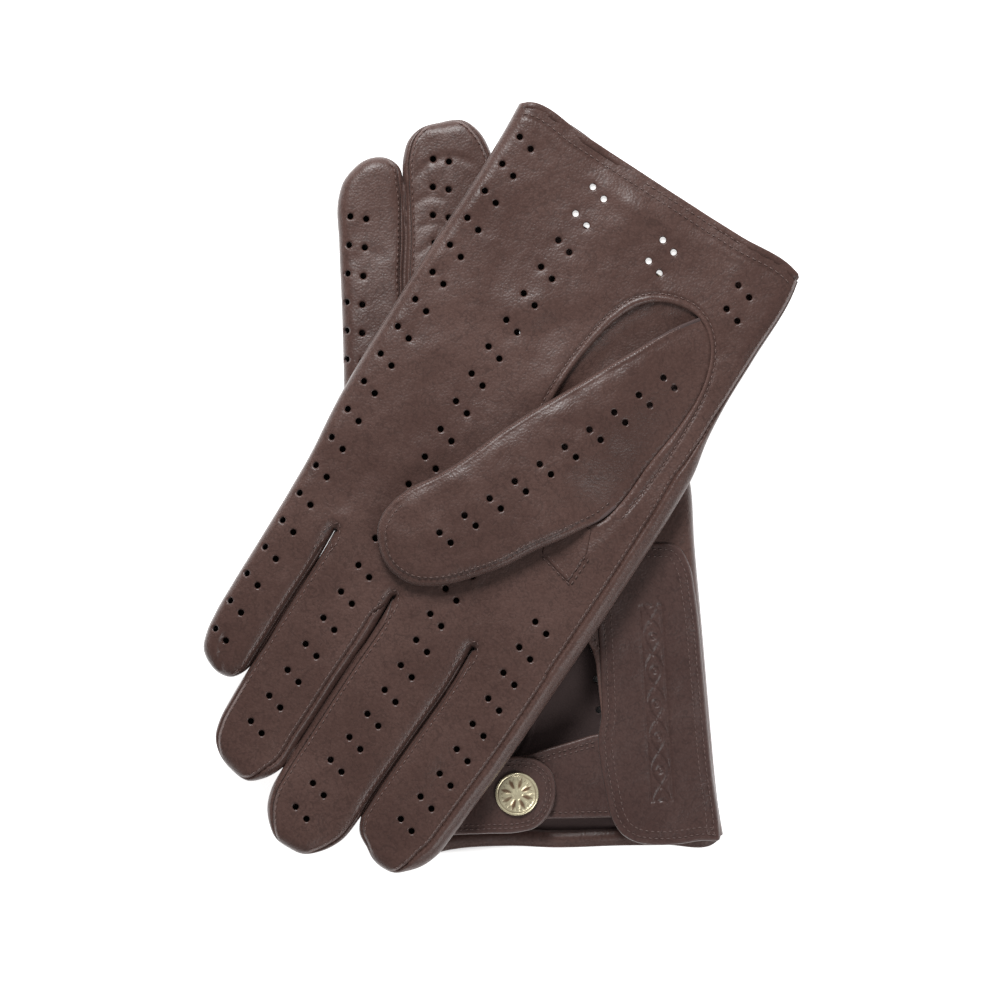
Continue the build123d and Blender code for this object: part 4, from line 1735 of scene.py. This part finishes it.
@dataclass
class Thumb:
    """The thumb folded over the palm, its gusset, its quirk, and the blank size label in the palm."""

    glove: Glove
    play: float = 0.5
    first_holes: tuple = ((-39.0, 52.0), (-32.0, 50.0), (-30.0, 58.0))
    base_rise: float = 0.25
    root: float = 24.0
    roundness: float = 6.0

    def heights(self, at: np.ndarray) -> tuple:
        """Heights of the thumb's outer and inner side.

        Both stand half the thumb's thickness from its middle times a quarter ellipse of the distance
        to the free edge, and the whole sinks to the palm towards the sewn edge.

        Args:
            at: points of the plane.

        Returns:
            The outer and the inner heights.
        """
        shell, drape = self.glove.shell, self.glove.drape
        free = np.vstack([curve(RIDGE, 1.0), curve(THUMB_EDGE, 1.0)[1:]])
        sewn = curve(THUMB_SEWN, 1.0)
        t = np.clip(nearest(at, free)[0] / self.roundness, 0, 1)
        swelling = np.sqrt(1 - (1 - t) ** 2)
        sink = smoothstep(nearest(at, sewn)[0] / self.root + 0.04)
        rise = (self.base_rise + self.glove.thumb_rise * drape.arch(at[:, 1])) * sink
        palm = drape.palm(at[:, 1]) - drape.depth(at[:, 1]) / 2 * (1 - shell.swelling(at))
        marks = (
            Swell((4.0, 139.0), (9.0, 8.0), 0.0, 0.45),
            Swell((-20.0, 100.0), (12.0, 10.0), 60.0, -0.3),
            Swell((-33.0, 62.0), (7.0, 16.0), 20.0, 0.35),
            Crease(((-36.0, 100.0), (-26.0, 104.0), (-14.0, 102.0)), -0.22, 1.6),
            Crease(((-34.0, 84.0), (-24.0, 90.0), (-14.0, 86.0)), -0.18, 1.8),
        )
        soft = sum(mark.lift(at) for mark in marks) + 0.13 * ripples(at, 13.0, self.glove.shell.seed + 20)
        soft = soft + 0.05 * ripples(at, 6.0, self.glove.shell.seed + 21)
        edge = curve(THUMB_EDGE, 1.0)
        seam = nearest(at, edge - inward(edge) * 2.0)[0]
        soft = soft - 0.32 * np.exp(-((seam / 0.42) ** 2)) + 0.12 * np.exp(-(((seam - 1.2) / 0.6) ** 2))
        limit = 1.0 if self.glove.side is Side.LEFT else 0.45
        fold = 0.42 * bell(nearest(at, curve(RIDGE, 1.0))[0] - 0.9, 0.9) * (0.35 + 0.65 * sink)
        top = palm + 0.35 * sink + rise / 2 * (1 + swelling) + (soft * swelling * sink + fold) * limit
        bottom = palm + self.play * sink + rise / 2 * (1 - swelling)
        parting = 1.05 * smoothstep(nearest(at, free)[0] / 2.0)
        hollow = 1.1 * bell(nearest(at, curve(self.first_holes, 1.0))[0], 4.0)
        return top, np.minimum(bottom, top - parting) - hollow

    def build(self) -> None:
        """Makes the thumb, gusset, quirk, label and their stitches."""
        self.thumb()
        self.gusset()
        self.stitches()

    def thumb(self) -> None:
        """The thumb's two leathers in one closed piece."""
        glove = self.glove
        loop = np.vstack([curve(line, 1.0)[:-1] for line in (RIDGE, THUMB_EDGE, THUMB_SEWN)])[::-1]
        free = np.vstack([curve(RIDGE, 1.0), curve(THUMB_EDGE, 1.0)[1:]])
        rows = [ring_points(free[::-1], (0.2, 0.5, 0.9, 1.4, 1.7, 2.0, 2.3, 2.7, 3.1, 3.5, 4.4))]
        punched = THUMB_ROW.centres()
        flat, triangles = triangulate(loop, [], punched, HOLE_RADIUS, np.vstack(rows))
        top, _ = self.heights(flat)
        near = np.sqrt(((flat[:, None] - punched[None]) ** 2).sum(2)).min(1)
        top = top - 0.16 * np.exp(-(((near - HOLE_RADIUS) / 0.45) ** 2))
        upper = Surface(np.column_stack([flat, top]), [triangles])
        wear = glove.rub(flat, [curve(RIDGE, 1.0), curve(THUMB_EDGE, 1.0)]) * 0.9
        plain, below = triangulate(loop, [], None, HOLE_RADIUS, np.vstack(rows[:1]), 2.0)
        _, bottom = self.heights(plain)
        lower = Surface(np.column_stack([plain, bottom]), [below[:, ::-1]])
        wear = np.concatenate([wear, np.zeros(len(plain))])
        materials = [glove.finishes["leather"], glove.finishes["flesh"]]
        whole = upper.joined(lower)
        glove.maker.piece("thumb_leather", whole, materials, "leather", ("thumb",), "thumb_root", 0.5, wear)

    def gusset(self) -> None:
        """The piece under the thumb, the small quirk beside it, and the label inside the palm."""
        glove = self.glove
        leather, flesh = glove.finishes["leather"], glove.finishes["flesh"]
        oval = curve(THUMB_OVAL, 1.1, closed=True)[::-1]
        grown = oval - inward(oval, closed=True) * 1.3
        flat, triangles = triangulate(grown, [], None, 1.0, None, 1.5)
        sunk = 0.9 + 1.5 * smoothstep(nearest(flat, np.vstack([grown, grown[:1]]))[0] / 7.0)
        height = glove.shell.height(flat, Face.PALM) - sunk + 0.06 * ripples(flat, 12.0, 31)
        piece = Surface(np.column_stack([flat, height]), [triangles])
        slots = [leather, flesh]
        glove.maker.piece("gusset_leather", piece, slots, "leather", ("thumb_gusset",), "hand", 0.5)
        loop = resample(np.vstack([QUIRK, QUIRK[:1]]), 1.0)[:-1]
        closed = np.vstack([loop, loop[:1]])
        flat, triangles = triangulate(loop, [], None, 1.0, ring_points(closed, (0.3, 0.7, 1.1)), 0.9)
        rim = np.sqrt(1 - (1 - np.clip(nearest(flat, closed)[0] / 0.9, 0, 1)) ** 2)
        height = glove.shell.height(flat, Face.PALM) + 0.04 + 0.38 * rim
        piece = Surface(np.column_stack([flat, height]), [triangles])
        glove.maker.piece("quirk_leather", piece, [leather, flesh], "leather", ("thumb_quirk",), "hand", 0.4)
        x, y = np.meshgrid(np.linspace(-15.5, 22.5, 40), np.linspace(10.6, 23.6, 15))
        flat = np.column_stack([x.ravel(), y.ravel()])
        height = glove.shell.height(flat, Face.PALM) - 1.05
        piece = Surface(np.column_stack([flat, height]), [grid_faces(15, 40)])
        slots = [glove.finishes["label"]]
        glove.maker.piece("blank_label", piece, slots, "label", ("size_label",), "hand", 0.3)

    def stitches(self) -> None:
        """Stitches along the thumb's seams and round the quirk."""
        glove = self.glove
        lift = Lift(lambda at: self.heights(at)[0], 1.0)
        stitching = Stitching(pitch=1.9, length=1.4, width=0.46)
        edge, ridge = curve(THUMB_EDGE, 0.8), curve(RIDGE, 0.8)
        rows = [stitching.row(edge - inward(edge) * 2.9, lift)]
        beads = Stitching(pitch=1.15, length=0.95, width=0.7, height=0.45)
        rows.append(beads.row((ridge - inward(ridge) * 0.75)[8:], lift, 0.0))
        thread = [glove.finishes["thread"]]
        glove.maker.piece("thumb_stitches", gather(rows), thread, "thread", (), "thumb_root")
        rows = []
        for line in (((-43.0, 111.5), (-42.6, 120.4)), ((-42.6, 120.4), (-32.0, 117.9)),
                     ((-44.4, 111.5), (-44.0, 122.2)), ((-44.0, 122.2), (-31.4, 119.4))):
            rows.append(stitching.row(resample(np.array(line), 0.5), glove.lift(Face.PALM, 0.22)))
        glove.maker.piece("quirk_stitches", gather(rows), [glove.finishes["thread"]], "thread")


CUFF_PANEL = ((20, 0.3), (16.2, 3.3), (14, 7.6), (12.8, 16.1), (12, 26), (12.1, 35.1),
              (13.9, 42.2), (14.8, 52.3), (15.4, 62.4), (15.7, 69.5), (16.2, 80), (17, 88),
              (20.5, 94), (27, 96), (36, 96), (44, 94), (47.4, 87), (48.2, 78),
              (48.3, 50), (48, 20), (48.4, 2), (48, -2.1), (42, -1.9), (33.9, -2.2),
              (25.7, -1.5))
STRAP = ((-24, 10.4), (-24.4, 31.2), (-11.8, 31.9), (1.8, 34.4), (10, 36), (16.5, 36.6),
         (17, 8.4), (1.9, 9.7), (-6.3, 10.5))
TAB = ((-38, 8.6), (-46, 9), (-49, 12), (-49, 27), (-46, 30.6), (-36, 31.4),
       (-24, 31.8), (-12.8, 31.8), (-7.4, 29.6), (-4.1, 25.9), (-3.2, 21.7), (-3.9, 16.6),
       (-6.8, 11.4), (-11.2, 8.2), (-16.1, 7.4), (-26, 7.9))
ORNAMENT_START, ORNAMENT_END = (30.5, 11.7), (33.4, 76.6)


@dataclass
class Cuff:
    """The cuff's panel, strap, snap tab and snap cap on the back of the glove."""

    glove: Glove
    panel_above: float = 0.8
    edge_radius: float = 1.0
    ornament_half: float = 3.5
    ornament_links: float = 6.0
    tab_low: float = 1.2

    def plate(self, loop: np.ndarray, above: Height, fine: np.ndarray = None, spacing: float = 1.2) -> tuple:
        """A thin leather plate on the back whose edges roll down over the edge radius.

        Args:
            loop: the outline.
            above: gives its height above the back.
            fine: more points.
            spacing: of the lattice.

        Returns:
            The surface, its flat points and their wear.
        """
        closed = np.vstack([loop, loop[:1]])
        rows = ring_points(closed, (0.12, 0.3, 0.55, 0.85, 1.2, 1.7, 2.4, 3.2))
        extra = rows if fine is None else np.vstack([rows, fine])
        flat, triangles = triangulate(loop, [], None, 1.0, extra, spacing)
        distance = nearest(flat, closed)[0]
        t = np.clip(distance / self.edge_radius, 0, 1)
        roll = np.sqrt(1 - (1 - t) ** 2)
        groove = 0.16 * np.exp(-(((distance - 2.2) / 0.5) ** 2))
        lift = above(flat) - 0.75 * (1 - roll) - groove
        height = self.glove.shell.height(flat, Face.BACK) - lift
        surface = Surface(np.column_stack([flat, height]), [triangles[:, ::-1]])
        return surface, flat, np.exp(-((distance / 0.8) ** 2))

    def build(self) -> None:
        """Makes the panel, the strap, the tab, the cap and their stitches."""
        self.panel()
        self.strap()
        self.tab()
        self.cap()

    def ornament(self, at: np.ndarray) -> np.ndarray:
        """Embossed band: two waves that cross like a chain, with a bead in each link, between two lines.

        Args:
            at: points of the plane.

        Returns:
            How deep each is pressed, from 0 to 1.
        """
        start, end = np.array(ORNAMENT_START), np.array(ORNAMENT_END)
        along = (end - start) / np.linalg.norm(end - start)
        length = np.linalg.norm(end - start)
        u = (at - start) @ along
        v = (at - start) @ np.array([along[1], -along[0]])
        wave = self.ornament_half * 0.74 * np.cos(math.pi * self.ornament_links * u / length)
        link = length / self.ornament_links
        bead = np.hypot((u - link / 2) % link - link / 2, v)
        cut = np.maximum(bell(v - wave, 0.42), bell(v + wave, 0.42))
        cut = np.maximum(cut, bell(np.minimum(bead, 3.0) - 0.9, 0.34))
        cut = np.maximum(cut, bell(np.abs(v) - self.ornament_half, 0.36))
        ends = smoothstep(u / 0.8) * smoothstep((length - u) / 0.8)
        return cut * ends

    def panel(self) -> None:
        """The cuff's panel with its embossed band."""
        glove = self.glove
        loop = curve(CUFF_PANEL, 0.9, closed=True)[::-1]
        loop = oriented(loop)
        start, end = np.array(ORNAMENT_START), np.array(ORNAMENT_END)
        along = (end - start) / np.linalg.norm(end - start)
        across = np.array([along[1], -along[0]])
        length = np.linalg.norm(end - start)
        u, v = np.meshgrid(np.arange(-0.8, length + 0.8, 0.42), np.arange(-4.4, 4.5, 0.42))
        fine = start + u.reshape(-1, 1) * along + v.reshape(-1, 1) * across
        surface, flat, wear = self.plate(loop, lambda at: np.full(len(at), self.panel_above), fine)
        pressed = self.ornament(flat)
        surface.points[:, 2] += 0.5 * pressed
        slots = [glove.finishes["panel"], glove.finishes["flesh"]]
        nodes = ("cuff_panel",)
        glove.maker.piece("panel_leather", surface, slots, "panel_leather", nodes, "hand", 0.7, wear)
        closed = np.vstack([loop, loop[:1]])
        stitching = Stitching(pitch=1.9, length=1.35, width=0.42, height=0.3)
        lift = glove.lift(Face.BACK, self.panel_above - 0.1)
        rows = [stitching.row(closed + inward(closed) * off, lift) for off in (2.2, 4.4)]
        glove.maker.piece("panel_stitches", gather(rows), [glove.finishes["thread"]], "thread")

    def strap(self) -> None:
        """The strap across the wrist opening, sewn under the panel."""
        glove = self.glove
        loop = oriented(resample(np.vstack([STRAP, STRAP[:1]]), 0.9)[:-1])
        surface, _, wear = self.plate(loop, lambda at: np.full(len(at), 0.15))
        slots = [glove.finishes["panel"], glove.finishes["flesh"]]
        nodes = ("wrist_strap",)
        glove.maker.piece("strap_leather", surface, slots, "panel_leather", nodes, "hand", 0.6, wear)
        stitching = Stitching(pitch=1.8, length=1.3, width=0.42)
        lines = [
            ((-22.0, 29.2), (-11.8, 29.8), (1.8, 32.3), (11.0, 34.0)),
            ((-22.0, 27.8), (-11.8, 28.4), (1.8, 30.9), (11.0, 32.6)),
            ((-22.0, 12.4), (-6.3, 12.5), (1.9, 11.8), (13.0, 10.8)),
        ]
        rows = [stitching.row(curve(line, 0.8), glove.lift(Face.BACK, 0.1)) for line in lines]
        glove.maker.piece("strap_stitches", gather(rows), [glove.finishes["thread"]], "thread")

    def cap_base(self) -> np.ndarray:
        """The middle of the cap's underside in the glove's frame, from its CAD node's box.

        Returns:
            One point.
        """
        low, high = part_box(f"{self.glove.side.value}_snap_cap")
        middle = (np.array(low) + np.array(high)) / 2 / MM
        z = middle[2] - self.glove.place.origin[2]
        z = -z if self.glove.place.turned_over else z
        return np.array([SNAP.x, SNAP.y, z + SNAP.cap_height / 2])

    def tab_above(self, at: np.ndarray) -> np.ndarray:
        """How far the tab stands off the back: low where it is sewn, then a smooth step up to the snap.

        Args:
            at: points of the plane.

        Returns:
            The distance at each point.
        """
        centre = np.array([[SNAP.x, SNAP.y]])
        high = self.glove.shell.height(centre, Face.BACK)[0] - self.cap_base()[2]
        return self.tab_low + (high - self.tab_low) * smoothstep((at[:, 0] + 35.0) / 11.0)

    def tab(self) -> None:
        """The snap tab, from its sewn end over the strap."""
        glove = self.glove
        loop = oriented(curve(TAB, 0.8, closed=True))
        surface, _, wear = self.plate(loop, self.tab_above, None, 1.0)
        slots = [glove.finishes["panel"], glove.finishes["flesh"]]
        nodes = ("snap_tab",) if glove.side is Side.LEFT else ("snap_tab", "tab_root")
        glove.maker.piece("tab_leather", surface, slots, "panel_leather", nodes, "tab_fold", 0.9, wear)
        closed = np.vstack([loop, loop[:1]])
        lift = Lift(lambda at: glove.shell.height(at, Face.BACK) - self.tab_above(at) + 0.1, -1.0)
        stitching = Stitching(pitch=1.8, length=1.3, width=0.42)
        rows = [stitching.row(closed + inward(closed) * off, lift) for off in (1.7, 3.0)]
        glove.maker.piece("tab_stitches", gather(rows), [glove.finishes["thread"]], "thread", (), "tab_fold")

    def cap(self) -> None:
        """The snap cap: a turned profile with a rolled rim, and low petals round a boss.

        The height is the profile by radius plus petals, a cosine of eight times the angle under a bell
        by radius; the whole lies on the leather's slope.
        """
        glove = self.glove
        base = self.cap_base()
        rim = [6.02, 6.1, 6.3, 6.5, 6.75, 6.92, 7.0, 6.9, 6.6]
        radius = np.concatenate([[0.02], np.linspace(0.4, 5.8, 25), rim])
        inner = 0.95 + 0.5 * (1 - (radius / 6.2) ** 2)
        outer = 0.55 + 0.5 * np.sqrt(np.maximum(0, 1 - ((radius - 6.5) / 0.5) ** 2))
        height = np.where(radius < 6.05, inner, outer)
        height[-3:] = (0.55, 0.25, 0.05)
        angle = np.arange(96) * 2 * math.pi / 96
        petals = 0.16 * np.cos(8 * angle)[None] * bell(radius - 3.3, 1.4)[:, None]
        petals = petals + 0.1 * bell(radius - 1.5, 0.35)[:, None] + 0.06 * bell(radius - 5.4, 0.4)[:, None]
        beads = 0.1 * np.cos(24 * angle)[None] * bell(radius - 5.0, 0.45)[:, None]
        z = height[:, None] + (petals + beads) * (radius < 6.0)[:, None]
        x, y = radius[:, None] * np.cos(angle)[None], radius[:, None] * np.sin(angle)[None]
        around = np.array([[base[0], base[1] - 5.0], [base[0], base[1] + 5.0]])
        low, high = glove.drape.palm(around[:, 1]) - glove.drape.depth(around[:, 1])
        z = base[2] + (high - low) / 10.0 * y - z
        points = np.stack([base[0] + x, base[1] + y, z], axis=-1).reshape(-1, 3)
        faces = [grid_faces(len(radius), 96, closed=True)[:, ::-1], np.arange(96)[None, ::-1]]
        faces[0] = faces[0][:, ::-1]
        hollow = np.clip(0.28 - (petals + beads) * 8.0, 0, 1) * (radius < 6.0)[:, None]
        hollow = hollow * (radius > 0.9)[:, None] + 0.7 * bell(radius - 6.06, 0.12)[:, None]
        surface = Surface(points, faces)
        glove.maker.piece(
            "cap_disc", surface, [glove.finishes["cap"]], "cap_metal", ("snap_cap",), "snap_tab", 0.0,
            np.clip(hollow, 0, 1).ravel()
        )


def bell(x: np.ndarray, width: float) -> np.ndarray:
    """A bell: e to minus the square of x over the width."""
    return np.exp(-((x / width) ** 2))


def oriented(loop: np.ndarray) -> np.ndarray:
    """The loop turned clockwise, so its right-hand side is its inside.

    Args:
        loop: points round a loop.

    Returns:
        The same points in clockwise order.
    """
    x, y = loop.T
    area = (x * np.roll(y, -1) - np.roll(x, -1) * y).sum()
    return loop[::-1] if area > 0 else loop


# ---------------------------------------------------------------------------------------------
# Stage, light and camera


@dataclass
class Studio:
    """A white floor, soft lights and a camera that looks straight down."""

    view_width: float = 0.32
    aim: tuple = (-0.0011, -0.0042)
    height: float = 1.02
    distance: float = 1.0
    sensor: float = 36.0
    floor_level: float = -0.0004
    # The lower glove's outline on the floor, where the floor gets a painted shadow.
    shade: np.ndarray = None

    def build(self) -> None:
        """Makes them all."""
        self.camera()
        self.floor()
        self.lights()

    def camera(self) -> None:
        """A long lens above the gloves' middle; its focal length is sensor times distance over view width."""
        data = bpy.data.cameras.new("camera")
        data.sensor_width = self.sensor
        data.lens = self.sensor * self.distance / self.view_width
        camera = bpy.data.objects.new("camera", data)
        camera.location = (*self.aim, self.height)
        bpy.context.scene.collection.objects.link(camera)
        bpy.context.scene.camera = camera

    def floor(self) -> None:
        """One large white plane that glows, but for a painted shadow where the lower glove covers it.

        Its grid is fine under the gloves, and the glow attribute, which paints that shadow, rises from
        nothing 4 mm inside the lower glove's outline to one at the outline.
        """
        mesh = bpy.data.meshes.new("floor")
        line = np.concatenate([[-3.0], np.linspace(-0.14, 0.14, 141), [3.0]])
        x, y = np.meshgrid(line, line)
        points = np.column_stack([x.ravel(), y.ravel(), np.full(x.size, self.floor_level)])
        mesh.from_pydata(points.tolist(), [], grid_faces(len(line), len(line)).tolist())
        # Painted shadow: the floor's glow fades to nothing under the lower glove.
        distance = nearest(points[:, :2], np.vstack([self.shade, self.shade[:1]]))[0]
        painted_shadow_area = inside(points[:, :2], self.shade)
        glow = 1 - smoothstep(distance / 0.004) * painted_shadow_area
        mesh.attributes.new("glow", "FLOAT", "POINT").data.foreach_set("value", glow.astype(np.float32))
        material = bpy.data.materials.new("white_floor")
        material.use_nodes = True
        shader = material.node_tree.nodes["Principled BSDF"]
        shader.inputs["Base Color"].default_value = (0.9, 0.9, 0.9, 1)
        shader.inputs["Roughness"].default_value = 0.9
        shader.inputs["Emission Color"].default_value = (1, 1, 1, 1)
        shader.inputs["Emission Strength"].default_value = 0.86
        nodes = material.node_tree.nodes
        glow_node = nodes.new("ShaderNodeAttribute")
        glow_node.attribute_name = "glow"
        # The glow attribute, with its painted shadow, sets the floor's emission colour.
        material.node_tree.links.new(glow_node.outputs["Fac"], shader.inputs["Emission Color"])
        mesh.materials.append(material)
        floor = bpy.data.objects.new("floor", mesh)
        bpy.context.scene.collection.objects.link(floor)

    def area(self, name: str, place: tuple, size: float, power: float) -> None:
        """A square area light aimed at the gloves' middle.

        Args:
            name: the light's name.
            place: where it is.
            size: its side.
            power: in watts.
        """
        data = bpy.data.lights.new(name, "AREA")
        data.size = size
        data.energy = power
        light = bpy.data.objects.new(name, data)
        light.location = place
        aim = Vector((*self.aim, 0.0)) - Vector(place)
        light.rotation_euler = aim.to_track_quat("-Z", "Y").to_euler()
        bpy.context.scene.collection.objects.link(light)

    def lights(self) -> None:
        """A broad key from beyond the gloves, a fill from the near right, and a pale world."""
        self.area("key", (-0.2, 0.85, 0.82), 0.42, 15.5)
        self.area("fill", (0.55, -0.75, 0.7), 0.5, 4.0)
        world = bpy.data.worlds.new("studio")
        world.use_nodes = True
        background = world.node_tree.nodes["Background"]
        background.inputs["Color"].default_value = (1, 1, 1, 1)
        background.inputs["Strength"].default_value = 0.22
        bpy.context.scene.world = world
        bpy.context.scene.view_settings.view_transform = "Standard"


UPPER_TURN, LOWER_TURN = 147.25, 6.14


def glove_place(side: Side, turn: float, turned_over: bool) -> Place:
    """Where a glove lies, worked back from its snap cap's place in the frame.

    Args:
        side: which glove.
        turn: degrees about Z.
        turned_over: whether its back is up.

    Returns:
        Its place.
    """
    low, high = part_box(f"{side.value}_snap_cap")
    x, y = ((np.array(low) + np.array(high)) / 2 / MM)[:2]
    c, s = math.cos(math.radians(turn)), math.sin(math.radians(turn))
    origin = (x - SNAP.x * c + SNAP.y * s, y - SNAP.x * s - SNAP.y * c, 0.08)
    return Place(origin, turn, turned_over)


def dress_metal(finishes: Finishes) -> None:
    """Gives the snap's own CAD nodes their metal.

    Args:
        finishes: all the finishes.
    """
    words = ("snap_stud", "snap_post", "snap_socket")
    for obj in bpy.context.scene.objects:
        if obj.type == "MESH" and obj.name.endswith(words):
            for slot in obj.material_slots:
                slot.material = finishes["snap"]


def main() -> None:
    """Builds the studio, the finishes and both gloves."""
    logging.basicConfig(level=logging.INFO, format="%(message)s")
    finishes = Finishes()
    finishes.build()
    place = glove_place(Side.LEFT, UPPER_TURN, False)
    left = Glove(Side.LEFT, place, LEFT_DRAPE, LEFT_OUTLINE, LEFT_HEM, LEFT_BACK_ROWS, finishes)
    place = glove_place(Side.RIGHT, LOWER_TURN, True)
    right = Glove(Side.RIGHT, place, RIGHT_DRAPE, RIGHT_OUTLINE, RIGHT_PALM_HEM, RIGHT_BACK_ROWS, finishes)
    right.outline.build()
    flat = right.outline.path
    Studio(shade=place.row(np.column_stack([flat, np.zeros(len(flat))]))[:, :2]).build()
    for glove in (left, right):
        LOG.info("%s glove at %s", glove.side.value, glove.place.origin)
        glove.build()
    dress_metal(finishes)


if __name__ == "__main__":
    main()
